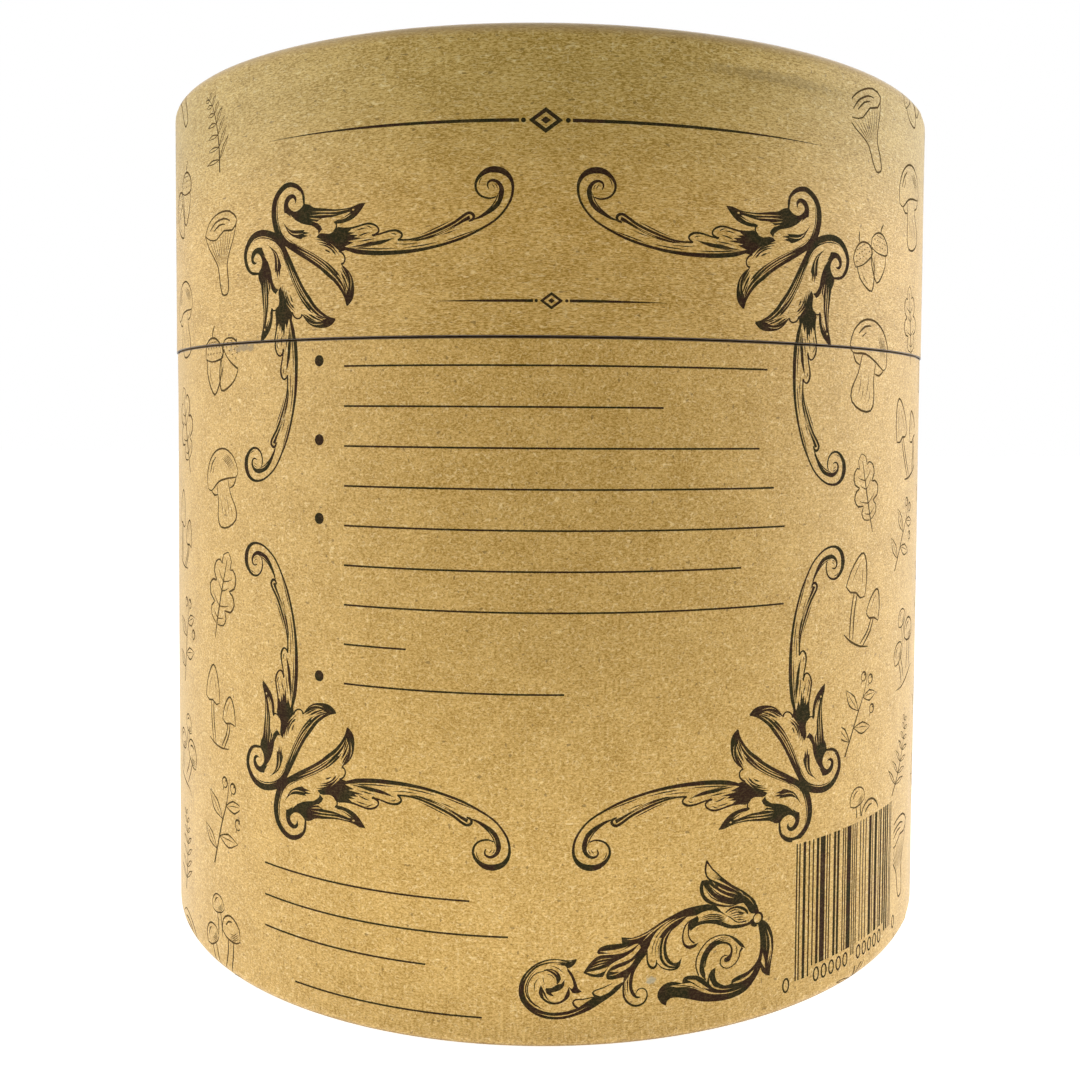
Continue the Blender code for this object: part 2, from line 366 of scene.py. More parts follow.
# %% Lay the floor
FLOOR_SIDE = 6.0
floor_mesh = bpy.data.meshes.new("floor")
half = FLOOR_SIDE / 2
floor_mesh.from_pydata([(-half, -half, 0), (half, -half, 0), (half, half, 0), (-half, half, 0)], [], [(0, 1, 2, 3)])
floor_material, floor_wire, floor_shader = new_material("white_table")
floor_shader.inputs["Base Color"].default_value = (0.5, 0.5, 0.5, 1.0)
floor_shader.inputs["Roughness"].default_value = 0.8
floor_shader.inputs["Emission Color"].default_value = (1.0, 1.0, 1.0, 1.0)
floor_shader.inputs["Emission Strength"].default_value = 0.86
floor_mesh.materials.append(floor_material)
floor = bpy.data.objects.new("floor", floor_mesh)
bpy.context.scene.collection.objects.link(floor)
print("floor laid")
# %% [markdown]
# ## Drawing in ink
#
# The print is line art: strokes that swell and taper, and dark leaves with pale streaks in
# them. An image can't be used and would blur close up, so every mark is an outline. A soft
# curve through a few points gives a stroke's middle, and a width at each point gives its two
# sides. Marks are laid down in order, ink or bare paper, as an engraver would cut them.

# %% Strokes and leaves
def curve(points, step=0.5):
    """A smooth curve through the points, with a new point about every step."""
    knots = np.asarray(points, float)
    if len(knots) < 3:
        return knots
    ends = np.vstack([2 * knots[0] - knots[1], knots, 2 * knots[-1] - knots[-2]])
    runs = []
    for before, start, stop, after in zip(ends, ends[1:], ends[2:], ends[3:]):
        bend = np.cross(start - before, after - stop) / (np.linalg.norm(start - before) * np.linalg.norm(after - stop))
        count = max(1 if abs(bend) < 0.12 else 2, int(np.linalg.norm(stop - start) / (step * 2.5)))
        t = (np.arange(count) / count)[:, None]
        runs.append(0.5 * (
            2 * start + (stop - before) * t + (2 * before - 5 * start + 4 * stop - after) * t**2
            + (3 * start - 3 * stop + after - before) * t**3
        ))
    return np.vstack([*runs, knots[-1:]])


def stroke(points, widths):
    """The outline of a stroke. There is a width for each point, or a few spread along it."""
    knots = np.asarray(points, float)
    middle = curve(knots)
    along = np.concatenate([[0], np.cumsum(np.linalg.norm(np.diff(middle, axis=0), axis=1))])
    if len(widths) == len(knots) and len(knots) > 2:
        marks = [along[np.argmin(np.linalg.norm(middle - knot, axis=1))] for knot in knots]
    else:
        marks = np.linspace(0, along[-1], len(widths))
    width = np.interp(along, marks, widths)
    slope = np.gradient(middle, axis=0)
    slope /= np.linalg.norm(slope, axis=1)[:, None] + 1e-12
    side = np.column_stack([-slope[:, 1], slope[:, 0]]) * width[:, None] / 2
    return np.vstack([middle + side, (middle - side)[::-1]])


class Drawing:
    """Outlines of ink and of bare paper, in the order they are laid down."""

    def __init__(self):
        self.marks = []

    def line(self, points, widths=(0.2,), bare=False):
        widths = [0.0, *widths, 0.0] if len(widths) == 1 else widths
        self.marks.append((stroke(points, widths), not bare))

    def pale(self, points, widths=(0.15,)):
        self.line(points, widths, bare=True)

    def hatch(self, first, second, count, width, bare=False):
        """Fine strokes that go over evenly from a first guide line to a second."""
        first, second = np.array(first), np.array(second)
        for t in np.linspace(0, 1, count):
            self.line(first + (second - first) * t, [0, width, width, 0], bare)

    def shape(self, *runs, bare=False):
        """A closed shape from smooth runs, with a corner wherever one run meets the next."""
        self.marks.append((np.vstack([curve(run) for run in runs]), not bare))

    def spikes(self, points, bare=False):
        self.marks.append((np.asarray(points, float), not bare))

    def dot(self, middle, radius, stretch=1.0, bare=False, sides=14):
        turn = np.linspace(0, math.tau, sides, endpoint=False)
        ring = np.column_stack([np.cos(turn) * radius * stretch, np.sin(turn) * radius])
        self.marks.append((ring + np.asarray(middle), not bare))

    def add(self, other, place):
        """Lays another drawing down, with its points put through place."""
        self.marks += [(place(outline), is_ink) for outline, is_ink in other.marks]


print("pen ready")

# %% [markdown]
# ## The corner scroll
#
# Acanthus scrolls in the four corners make the frame of each panel. One arm is drawn: a ribbon
# that curls into a spiral, two leaves and a long tendril. The other arm is its reflection over
# the corner's diagonal, and the other three corners are reflections of the first, so the frame
# costs the drawing of one arm.

# %% One arm of a corner scroll
def scroll_arm():
    art = Drawing()
    art.line(
        [(-46.1, 124.2), (-46.6, 126), (-47.15, 127.4), (-47.45, 129), (-47.4, 130.2), (-47.1, 131.3),
         (-46.5, 132.2), (-45.6, 132.95), (-44.5, 133.4), (-43.2, 133.3), (-42.1, 132.8), (-41.4, 132.1),
         (-41, 131.2), (-40.9, 130)],
        [1.4, 1.45, 1.4, 1.45, 1.4, 1.25, 1.1, 0.95, 0.85, 0.8, 0.7, 0.65, 0.55, 0.35])
    art.pale([(-41.9, 132.35), (-41.45, 131.7), (-41.2, 131)], [0, 0.12, 0.1, 0])
    art.shape(
        [(-45.2, 129.1), (-45.3, 129.9), (-45.2, 130.7), (-44.8, 131.4), (-44.2, 131.8), (-43.5, 131.9),
         (-42.9, 131.7), (-42.5, 131.2), (-42.55, 130.7), (-42.8, 130.25)],
        [(-42.86, 130.84), (-43.2, 131.2), (-43.6, 131.16), (-44.1, 130.77), (-44.3, 130.3),
         (-44.1, 129.83), (-43.56, 129.36), (-42.8, 129.1), (-42, 129.28), (-41.4, 129.67), (-41.06, 130.06)],
        [(-40.7, 130.1), (-39.8, 129.9), (-38.9, 129.4), (-37.6, 129.2), (-36.2, 129), (-34.7, 128.8),
         (-32.9, 128.8), (-31.5, 129), (-30.3, 129.4), (-29.2, 129.4)],
        [(-29.7, 128.7), (-30.3, 128), (-31.2, 127.25), (-32.3, 126.8), (-33.6, 126.55), (-34.9, 126.6)],
        [(-36, 126.4), (-37.2, 125.9), (-37.94, 125.2)],
        [(-38.1, 125.8), (-38.6, 126.2), (-39.3, 126.6), (-40.3, 126.8), (-41.4, 127.1), (-42.5, 127.6),
         (-43.25, 128), (-44, 128.5), (-44.8, 129)])
    art.shape(
        [(-38.3, 127.1), (-37.2, 127.6), (-35.5, 127.6), (-34, 127.85), (-32.2, 128.2)],
        [(-31.9, 128.15), (-33.2, 127.45), (-34.6, 127.05)],
        [(-34.95, 126.8), (-34.75, 126.2), (-34.95, 125.7), (-35.6, 125.35), (-36.5, 125.3), (-37.1, 125.75),
         (-37.5, 126.4)], bare=True)
    art.line([(-34.9, 126.9), (-34.5, 126.5), (-34.55, 125.9), (-35, 125.4)], [0.3, 0.28, 0.28, 0.3])
    for streak in (
        [(-39.5, 128.75), (-37, 128.6), (-34.5, 128.45), (-32, 128.65)],
        [(-39.8, 128.2), (-37.5, 128.18), (-34.4, 127.98)],
        [(-39.8, 127.85), (-38.6, 127.6), (-37.4, 127.5)],
        [(-43.9, 128.7), (-43.4, 128.15), (-42.7, 127.75)],
        [(-34.2, 127.1), (-32.8, 127.4), (-31.7, 127.95)],
        [(-39.3, 127.35), (-38.5, 127.1), (-37.9, 126.9)],
    ):
        art.pale(streak, [0, 0.17, 0.15, 0])
    art.dot((-31.4, 128.5), 0.14, 1.5, bare=True, sides=8)
    art.shape(
        [(-45.9, 128.35), (-45.2, 127.4), (-44.2, 126.5), (-43, 126.15), (-41.8, 126.1), (-40.7, 126.05)],
        [(-41, 125.8), (-39.6, 125.5)], [(-41, 125.35), (-40, 125.05)],
        [(-41.2, 124.85), (-41.7, 124.65), (-43, 125.1), (-44.2, 125.8), (-45, 126.9)])
    art.pale([(-44.6, 126.6), (-43.6, 125.75), (-42.4, 125.5), (-41, 125.55)], [0, 0.14, 0.14, 0])
    art.shape(
        [(-38.4, 124.75), (-37.6, 124.4), (-36.5, 124), (-35.6, 123.6), (-34.8, 123), (-34, 122.35)],
        [(-33.4, 122.25), (-31.9, 122.6)], [(-33, 122.95), (-31.3, 123.5)], [(-32.3, 123.75), (-29.5, 124.1)],
        [(-31.2, 124.3), (-30.5, 124.6)], [(-32, 124.75), (-31, 125)], [(-32.3, 125.15), (-31.7, 125.5)],
        [(-33, 125.8), (-34.2, 126), (-34.8, 125.85), (-35.1, 125.4), (-36, 125.1), (-37.2, 125.3), (-37.9, 125.2)])
    art.line([(-34.2, 125.85), (-33, 125.7), (-31.5, 125.75), (-30, 126.05), (-28.8, 126.25), (-27.9, 126.1),
              (-27.2, 125.7), (-26.9, 125.2), (-27.1, 124.75), (-27.9, 124.35)],
             [0.45, 0.36, 0.32, 0.3, 0.34, 0.34, 0.3, 0.28, 0.36, 0.4])
    art.line([(-28.1, 124.45), (-26.8, 124.55), (-25.4, 124.9), (-24.2, 125), (-23.4, 124.75), (-23, 124.3),
              (-23.2, 123.85), (-23.7, 123.5)], [0.32, 0.27, 0.3, 0.37, 0.4, 0.32, 0.3, 0.3])
    art.line([(-23.7, 123.55), (-22, 123.5), (-20, 123.8), (-18, 124.45), (-16, 125.25), (-14.5, 126),
              (-13.3, 126.85), (-12.5, 127.25), (-11.95, 127.1), (-11.7, 126.7), (-11.9, 126.25), (-12.5, 126)],
             [0.32, 0.3, 0.33, 0.38, 0.42, 0.42, 0.42, 0.46, 0.46, 0.45, 0.4, 0.25])
    art.shape(
        [(-21.8, 123.35), (-20, 123.6), (-18, 124.2), (-16, 125), (-14.3, 125.8), (-12.4, 126.9)],
        [(-12.2, 126.3), (-13.2, 125.9), (-14.6, 125.2), (-16.5, 124.3), (-18.5, 123.6), (-20.5, 123.25)])
    for streak in ([(-20, 123.65), (-17.5, 124.35), (-15.4, 125.2), (-13.4, 126.25)],
                   [(-18, 123.9), (-16.3, 124.55), (-14.6, 125.35)]):
        art.pale(streak, [0, 0.14, 0.14, 0])
    art.line([(-12.2, 126.15), (-11, 126.5), (-10, 127.05), (-9, 127.75), (-8.2, 128.6), (-7.75, 129.6),
              (-7.5, 130.5), (-7.75, 131.3), (-8.3, 131.85), (-9, 132), (-9.55, 131.7), (-9.65, 131.2),
              (-9.45, 130.75)], [0.1, 0.35, 0.55, 0.8, 1, 0.95, 0.75, 0.6, 0.5, 0.4, 0.32, 0.25, 0.15])
    art.pale([(-9, 128), (-8.2, 129.1), (-7.9, 130.3)], [0, 0.15, 0])
    art.line(
        [(-33.5, 122.9), (-31, 122.15), (-28, 121.75), (-25, 121.65), (-22, 121.75), (-19, 122.1), (-16, 122.75),
         (-13, 123.7), (-10.5, 124.9), (-8.5, 126.1), (-7.2, 127.4), (-6.2, 129), (-5.85, 130.5),
         (-5.95, 131.7), (-6.5, 132.7), (-7.4, 133.35), (-8.6, 133.6), (-9.8, 133.4), (-10.9, 132.6),
         (-11.45, 131.6), (-11.35, 130.6), (-10.8, 129.85), (-10, 129.45), (-9.1, 129.35), (-8.3, 129.6)],
        [0.4, 0.72, 0.74, 0.68, 0.58, 0.48, 0.42, 0.4, 0.34, 0.32, 0.32, 0.36, 0.4, 0.5, 0.7, 0.9, 1.0,
         0.85, 0.55, 0.4, 0.36, 0.32, 0.32, 0.27, 0.2])
    art.line([(-31.9, 122.85), (-30.2, 122.95), (-28.3, 123.15), (-26.6, 123.25), (-24.8, 123.6)],
             [0.05, 0.3, 0.65, 0.5, 0.05])
    for hatch, width in (
        ([(-32.2, 122.75), (-29.5, 122.5), (-26.5, 122.3), (-23.5, 122.3)], 0.2),
        ([(-30.9, 123.55), (-29, 123.75), (-27.2, 123.95)], 0.24), ([(-30.6, 124.3), (-29.4, 124.75), (-28.4, 124.9)], 0.24),
        ([(-23, 122.3), (-19.6, 122.6), (-17, 123.1)], 0.2), ([(-27.8, 123.45), (-25.6, 123.6), (-23.9, 123.95)], 0.2),
        ([(-24.6, 123.05), (-22.4, 122.85), (-20, 123)], 0.16), ([(-31, 125.3), (-29.8, 125.55), (-28.8, 125.6)], 0.2),
        ([(-20.6, 124.0), (-18.4, 124.75), (-16.4, 125.6), (-14.9, 126.3)], 0.18),
        ([(-26, 121.98), (-22.6, 122.05)], 0.16), ([(-31.6, 122.6), (-29.5, 122.72), (-28, 122.78)], 0.14),
        ([(-16.5, 123), (-13.5, 123.98), (-10.9, 124.85)], 0.2), ([(-29.2, 125.95), (-28.6, 125.8), (-28, 125.45)], 0.2),
        ([(-28.3, 125.95), (-27.6, 125.6)], 0.16), ([(-24.9, 124.5), (-24.3, 124.48), (-23.9, 124.2)], 0.18),
        ([(-17, 123.95), (-15.5, 124.4), (-14, 124.95)], 0.18), ([(-13.3, 125.75), (-12.4, 125.95)], 0.18),
        ([(-10.95, 131.2), (-10.85, 131.9), (-10.4, 132.6)], 0.16), ([(-10.3, 132), (-9.9, 132.5)], 0.14),
        ([(-8.6, 131.5), (-8.25, 131.15), (-8.15, 130.7)], 0.14), ([(-9.05, 131.45), (-8.7, 131.1), (-8.6, 130.7)], 0.14),
    ):
        art.line(hatch, [0, width, width, 0])
    art.shape(
        [(-46.4, 127.4), (-45.8, 126.35), (-44.97, 125.4), (-43.9, 124.66), (-42.3, 123.8), (-40.75, 123.1),
         (-39.2, 122.4), (-37.6, 121.5), (-36.06, 120.6), (-34.8, 119.6), (-33.85, 118.45)],
        [(-34.3, 118.65), (-35, 118.3), (-36.06, 118.4)],
        [(-37.6, 119.65), (-39.2, 120.65), (-40.75, 121.5), (-42.3, 122.3), (-43.9, 123.2), (-45.5, 124.1)])
    art.line([(-36.4, 119.1), (-34.9, 117.95), (-33.9, 116.85), (-33.2, 115.85), (-32.75, 114.9), (-32.5, 113.9)],
             [0.7, 0.6, 0.5, 0.45, 0.35, 0.3])
    art.line([(-36.2, 119.85), (-34.55, 118.45), (-33.5, 117.2), (-32.95, 116.1), (-32.65, 115)],
             [0.55, 0.55, 0.42, 0.3, 0.05])
    art.line([(-35.4, 119.9), (-34.3, 118.95), (-33.55, 118)], [0.3, 0.28, 0.03])
    for streak, width in (
        ([(-42.9, 123.95), (-41, 123.05), (-39, 122.05), (-37, 120.9), (-35.5, 119.75), (-34.4, 118.7)], 0.12),
        ([(-42.5, 123.25), (-40.5, 122.35), (-38.5, 121.35), (-36.7, 120.15), (-35.3, 118.9)], 0.14),
        ([(-41, 122.3), (-39.2, 121.35), (-37.4, 120.25), (-35.8, 119.1), (-34.9, 118.25)], 0.13),
        ([(-46.4, 127.3), (-45.75, 126.15), (-45, 125.25), (-44, 124.5), (-42.8, 123.95)], 0.13),
        ([(-37.4, 120.3), (-35.8, 119.2), (-34.4, 117.95), (-33.4, 116.75), (-32.95, 115.8)], 0.1),
        ([(-46.15, 126), (-46.7, 127.6), (-47, 129.1), (-46.7, 131.05), (-45.4, 132.5), (-44, 132.9)], 0.12),
    ):
        art.pale(streak, [0, width, width, width, 0])
    art.line([(-34.05, 122.35), (-33.4, 122), (-33, 121.5), (-32.9, 121), (-33.1, 120.5), (-33.6, 120.25)],
             [0.32, 0.3, 0.28, 0.26, 0.28, 0.4])
    art.shape(
        [(-33.65, 120.3), (-33, 119.9), (-32.2, 119.2), (-31.6, 118.3), (-31.3, 117.3), (-31.2, 116.3),
         (-31.3, 115.3), (-31.7, 114.5), (-32.45, 113.8)],
        [(-32.75, 115.4), (-32.55, 116.1), (-32.3, 116.6), (-32.25, 117.3), (-32.4, 118), (-32.7, 118.7),
         (-33.1, 119.4), (-33.5, 120.05)])
    art.pale([(-32.3, 119.05), (-31.85, 118), (-31.8, 116.9), (-31.95, 116.1)], [0, 0.1, 0.1, 0])
    for hatch in (
        [(-33.6, 119.95), (-33.2, 119.2), (-32.7, 118.4), (-32.3, 117.4)],
        [(-33.35, 118.8), (-32.95, 117.95), (-32.55, 116.9), (-32.3, 116.2)],
        [(-33.3, 117.85), (-32.9, 116.9), (-32.55, 115.9)], [(-32.95, 116.7), (-32.65, 115.75)],
        [(-33.7, 119.2), (-33.3, 118.4), (-32.95, 117.5)], [(-38.6, 124.45), (-37.1, 124.15), (-35.7, 123.5), (-34.8, 122.8)],
        [(-38.2, 124), (-36.8, 123.7), (-35.4, 123.1), (-34.6, 122.4), (-34, 121.7)],
        [(-37.8, 123.6), (-36.5, 123.3), (-35.3, 122.6), (-34.6, 122)], [(-36.8, 122.7), (-36, 122.4), (-35.6, 122.1)],
        [(-35.6, 122.75), (-35, 122.2), (-34.6, 121.75)],
    ):
        art.line(hatch, [0.04, 0.27, 0.25, 0.04])
    return art


ARM = scroll_arm()
print("one arm:", len(ARM.marks), "marks,", sum(len(outline) for outline, _ in ARM.marks), "points")

# %% [markdown]
# ## The panel's frame
#
# The drawing was read off a canister 77 mm in radius, before the barcode gave its true size, so
# it is enlarged to the real radius here.

# %% Four corners of a panel
READ_SCALE = LID_RADIUS / 77.0
READ_DROP = -0.5
PANEL_AXIS = -1.0
PANEL_WAIST = 81.0
STANDING_SIDE, STANDING_TOP, FULLER = -55.5, 133.9, 1.04
STANDING_FOOT, SHORTER = 80.5, 0.9636


def over_diagonal(points):
    """The standing arm of a corner, which is a little shorter and fuller than the lying one."""

    across = STANDING_SIDE + FULLER * (STANDING_TOP - points[:, 1])
    return np.column_stack([across, STANDING_FOOT - SHORTER * points[:, 0]])


def mirrored(points):
    return np.column_stack([2 * PANEL_AXIS - points[:, 0], points[:, 1]])


def flipped(points):
    return np.column_stack([points[:, 0], 2 * PANEL_WAIST - points[:, 1]])


def enlarged(points):
    return points * READ_SCALE + np.array([0.0, READ_DROP])


corner = Drawing()
corner.add(ARM, lambda p: p)
corner.add(ARM, over_diagonal)
panel_frame = Drawing()
for place in (lambda p: p, mirrored, flipped, lambda p: flipped(mirrored(p))):
    panel_frame.add(corner, lambda p: enlarged(place(p)))
print("frame of a panel:", len(panel_frame.marks), "marks")
# %% [markdown]
# ## The flourish
#
# A lying scroll fills the foot of the front panel: a round volute on the left, a fan of leaves,
# an arch with buds, a small ball and a long curved leaf that comes back under a spiral.

# %% The flourish at the foot of the front panel
def flourish():
    art = Drawing()
    art.shape(
        [(4.5, 14.4), (3.2, 14.2), (1.7, 14.42), (0.35, 14.42), (-1.2, 14), (-2.5, 13.15), (-3.7, 11.8), (-4.3, 10.3),
         (-4.3, 8.7), (-3.7, 7.4), (-2.5, 6.2), (-1, 5.4), (0.7, 5.04), (2.65, 5.1), (4.6, 5.6), (6.5, 6.3),
         (8.4, 7.4), (10, 8.4), (11.3, 9.5), (12.1, 10.6)],
        [(10.6, 9.9), (9.4, 9.0), (8, 8.35)], [(7.3, 8.4), (6, 7.6), (4.8, 6.8)],
        [(3.2, 6.3), (1.3, 6.1), (-0.4, 6.3), (-2, 7), (-3.1, 8.15), (-3.6, 9.5), (-3.3, 11), (-2.35, 12.4),
         (-1.2, 13.3), (0.15, 13.7), (1.6, 13.9), (2.8, 13.4), (4.2, 13.7)])
    art.pale([(3.9, 14.15), (2.6, 13.95), (1.2, 14.15), (-0.3, 13.95), (-1.7, 13.4)], [0, 0.3, 0.3, 0.16, 0])
    art.pale([(-1.6, 13.5), (-2.9, 12.3), (-3.8, 10.8), (-4, 9.4), (-3.5, 7.9), (-2.3, 6.6)], [0, 0.12, 0.16, 0.12, 0])
    art.pale([(-1.6, 6.1), (0.2, 5.6), (2.2, 5.55), (4.2, 6.0), (6.2, 6.9)], [0, 0.12, 0.16, 0.12, 0])
    art.line([(-0.2, 12.65), (-1.6, 12.25), (-2.5, 11.4), (-3, 10.1), (-2.85, 8.7), (-2.15, 7.6), (-1, 6.9)],
             [0.1, 0.17, 0.17, 0.17, 0.17, 0.15, 0.05])
    art.line([(0.2, 13.45), (1.3, 13.15), (2, 12.7), (2.6, 12.2)], [0, 0.15, 0.15, 0])
    art.shape([(1.8, 13.75), (2.6, 13.4), (3.1, 12.95)], [(3.7, 13.1), (4.3, 13.7), (4.55, 14.4)],
              [(4.1, 13.85), (3.3, 13.5), (2.6, 13.6)])
    art.shape([(3, 13.05), (3.8, 12.2), (4.4, 10.9), (4.75, 9.8), (5.35, 9.3)],
              [(4.7, 9.02), (3.9, 9.1), (3.3, 10.1)], [(3.8, 9.75), (4.05, 10.3), (3.7, 11.5), (3.1, 12.5)])
    art.line([(-0.5, 12.75), (0.5, 12.65), (1.4, 12.1), (1.75, 11.3), (1.5, 10.55)], [0.1, 0.55, 0.8, 0.75, 0.2])
    art.pale([(0.2, 12.75), (1, 12.5), (1.6, 11.9)], [0, 0.14, 0])
    art.shape([(2.65, 11.25), (2.6, 10.3), (2, 9.6), (1.1, 9.3), (0.6, 9.2)], [(1.1, 8.65), (0.7, 8.7), (0, 9.0), (-0.3, 9.6)],
              [(-0.2, 9.95), (0.6, 9.95), (1.5, 10.45), (2.2, 10.6)])
    art.shape([(-0.96, 10.4), (-1.3, 9.3), (-0.95, 8.4), (-0.2, 7.75), (0.6, 7.4), (1.7, 7.4), (2.85, 7.95),
               (3.5, 8.8), (3.35, 10.1)], [(2.95, 9.2), (2.5, 8.2), (1.6, 7.72), (0.6, 7.8), (0.1, 8.3), (-0.3, 9.2)])
    art.pale([(-0.7, 9.4), (-0.35, 8.4), (0.5, 7.8)], [0, 0.2, 0])
    art.line([(7.3, 8.35), (5.5, 8.06), (4.4, 8.06), (3.96, 7.6), (4.3, 7), (4.9, 6.65)], [0.15, 0.2, 0.25, 0.3, 0.35, 0.3])
    art.line([(10, 10.3), (8.6, 9.7), (7.5, 9.4), (7, 9), (7.4, 8.5), (8.1, 8.3)], [0.1, 0.2, 0.22, 0.3, 0.4, 0.3])
    art.pale([(8, 8.3), (9.4, 8.95), (10.5, 9.8)], [0, 0.12, 0])
    art.shape([(9.2, 12.1), (9.05, 11.5), (9.3, 10.95), (10.35, 10.9), (11.7, 11.1), (12.1, 10.5)],
              [(12.9, 11.7), (14.4, 13.6), (15.4, 15.2), (16.3, 16.6)], [(15.1, 16.2), (14.2, 15.2), (13, 14), (11.6, 13.5),
              (10.2, 13.05), (9.5, 12.5)])
    art.pale([(9.6, 12.2), (11.2, 12.35), (12.6, 12.95), (13.6, 13.9)], [0, 0.75, 0.5, 0])
    art.pale([(9.4, 11.5), (10.6, 11.7), (11.7, 12.2)], [0, 0.14, 0])
    art.shape([(5.5, 12.15), (6.3, 13.35), (7.2, 14.3), (8.2, 14.8), (10.35, 14.8), (12.3, 15.1), (14.4, 16.3)],
              [(13.4, 15.2), (12, 14.3), (10.6, 13.7), (9.6, 13.1), (9.05, 12.3)],
              [(8.6, 11.4), (7.85, 11.35), (6.6, 11.6)])
    art.pale([(6, 12.25), (7.4, 12.15), (8.7, 12.5), (9.4, 13)], [0, 0.6, 0.5, 0])
    for streak in ([(6.3, 12.7), (7.6, 13.1), (9, 13.45)], [(6.9, 13.2), (8, 13.6), (9.4, 13.85)],
                   [(7.3, 13.8), (8.4, 14.15), (10, 14.25)]):
        art.pale(streak, [0, 0.14, 0])
    art.shape([(7.6, 15.3), (8, 15.95), (9.2, 16.35), (10.5, 16.4), (11.5, 16.45)], [(11.45, 16.9), (11.4, 17.4)],
              [(11.9, 17.35), (12.85, 17.2), (14, 17.4), (15.5, 18), (17.1, 18.9), (18.6, 19.7), (20, 20.25), (21.7, 20.85),
               (23.6, 21.05), (25.5, 21.1)], [(27, 20.6), (27.9, 19.6), (28.95, 18.7)],
              [(27.85, 19.3), (26.3, 19.95), (24.8, 19.95), (23.6, 19.55)],
              [(22, 19.5), (20.6, 18.4), (19.4, 17.6), (18.7, 16.2), (18.6, 14.8), (18.95, 13.5), (19.8, 12.55), (20.6, 12.6),
               (21.15, 13.2)], [(20.95, 12.2), (20.2, 11.65), (18.9, 11.9), (18, 12.6), (17.5, 13.6)],
              [(17.45, 15.1), (17.8, 16.7)], [(16.6, 16.9), (15.7, 15.4), (15.45, 14.7)],
              [(14.6, 15.4), (14, 16.2), (12.9, 15.9), (11.3, 15.25), (9.6, 15.0), (7.85, 14.95)])
    art.pale([(8, 15.4), (9.6, 15.25), (11.2, 15.45), (12.4, 15.9)], [0, 0.4, 0.35, 0])
    art.pale([(12, 16.95), (13.5, 17.0), (15.2, 17.5), (17, 18.5)], [0, 0.16, 0.14, 0])
    art.pale([(14.7, 16.4), (16, 17.6), (17.8, 18.8), (19.4, 19.5)], [0, 0.18, 0.18, 0])
    art.pale([(15.75, 14.7), (16.2, 16.2), (17.2, 17.7), (18.7, 18.9), (20.2, 19.6)], [0, 0.35, 0.4, 0.2, 0])
    art.pale([(16.9, 13.6), (16.75, 15.3), (17.3, 17), (18.5, 18.3), (20.1, 19.2), (21.9, 19.7)], [0, 0.2, 0.35, 0.3, 0.16, 0])
    art.pale([(20.1, 11.95), (19, 12.35), (18.2, 13.4), (18, 15), (18.3, 16.6), (19.4, 18)], [0, 0.22, 0.3, 0.2, 0.14, 0])
    art.line([(15.5, 15), (15.5, 13.5), (15.9, 12.45), (16.55, 12.15), (17, 12.6), (17, 13.4)], [0.2, 0.25, 0.4, 0.45, 0.35, 0.1])
    art.line([(17.1, 12.9), (17.8, 12.1), (18.8, 11.6), (20, 11.5), (20.7, 11.95), (21.15, 13.2)], [0.1, 0.2, 0.22, 0.3, 0.4, 0.05])
    art.shape([(15.2, 15), (13.9, 13.6), (13.1, 12.2), (12.65, 10.7), (12.7, 9.2), (13.2, 8.1), (14, 7.6), (14.55, 7.8)],
              [(13.9, 8), (13.45, 8.7), (13.2, 9.5), (13.25, 10.7), (13.6, 12), (14.6, 13.5), (15.5, 14.5)])
    art.line([(11.95, 10.9), (11.75, 9.5), (11.9, 8), (12.65, 6.95), (13.8, 6.45), (15, 6.8), (15.55, 7.8), (15.4, 8.7),
              (14.8, 9.15), (14.1, 9), (13.75, 8.4)], [0.3, 0.3, 0.35, 0.35, 0.35, 0.3, 0.25, 0.22, 0.2, 0.2, 0.1])
    art.line([(12.7, 11.7), (12.35, 10.2), (12.4, 8.9)], [0.02, 0.15, 0.02])
    art.shape([(23.8, 18.5), (25.5, 18.55), (27.5, 18.2), (29, 17.4), (30.5, 16.85), (32.1, 16.75), (33.4, 17)],
              [(33.5, 16.5), (32.5, 16.35), (30.7, 16.3), (29, 16.7), (27.1, 17.6), (25.2, 18), (23.6, 17.8), (22.65, 17.2)],
              [(22.3, 17.6), (22.1, 18.2), (22.6, 18.9), (23.4, 19.3), (23.9, 19.2)])
    for streak in ([(24.2, 19), (25.6, 19.1), (27.2, 18.85), (28.6, 18.1)], [(25.4, 18.75), (27, 18.6), (28.6, 17.9)]):
        art.line(streak, [0, 0.15, 0])
    art.line([(23.6, 19.5), (23.9, 18.9), (23.7, 18.5)], [0.2, 0.25, 0.3])
    art.line([(28.7, 19.2), (29.6, 19.7), (30.8, 19.75), (31.9, 19.35), (32.6, 18.8), (32.85, 18.3)], [0.25, 0.3, 0.4, 0.5, 0.45, 0.3])
    art.line([(28.9, 18.7), (29.6, 18.3), (30.4, 17.6), (31.3, 17.2), (32.6, 17.2)], [0.1, 0.18, 0.2, 0.18, 0.3])
    art.shape([(30.9, 19.1), (31.6, 18.9), (32.3, 18.5)], [(31.9, 18.4), (31.2, 18.6)])
    art.line([(23.8, 19.3), (22.6, 18.9), (21.75, 18.2), (21.35, 17), (21.35, 15.8), (21.75, 15), (22.5, 14.65), (23.4, 14.8),
              (24, 15.2)], [0.1, 0.2, 0.25, 0.25, 0.3, 0.4, 0.6, 0.5, 0.05])
    art.line([(22.3, 17.8), (22.25, 16.6), (22.7, 15.7), (23.3, 15.2)], [0.3, 0.2, 0.25, 0.3])
    art.dot((34.85, 17.2), 1.05)
    art.dot((34.75, 17.2), 0.72, bare=True)
    art.shape([(33.2, 17), (33.6, 16.2), (34.2, 15.9), (34.8, 16)], [(34.4, 16.3), (33.9, 16.8), (33.8, 17.4)])
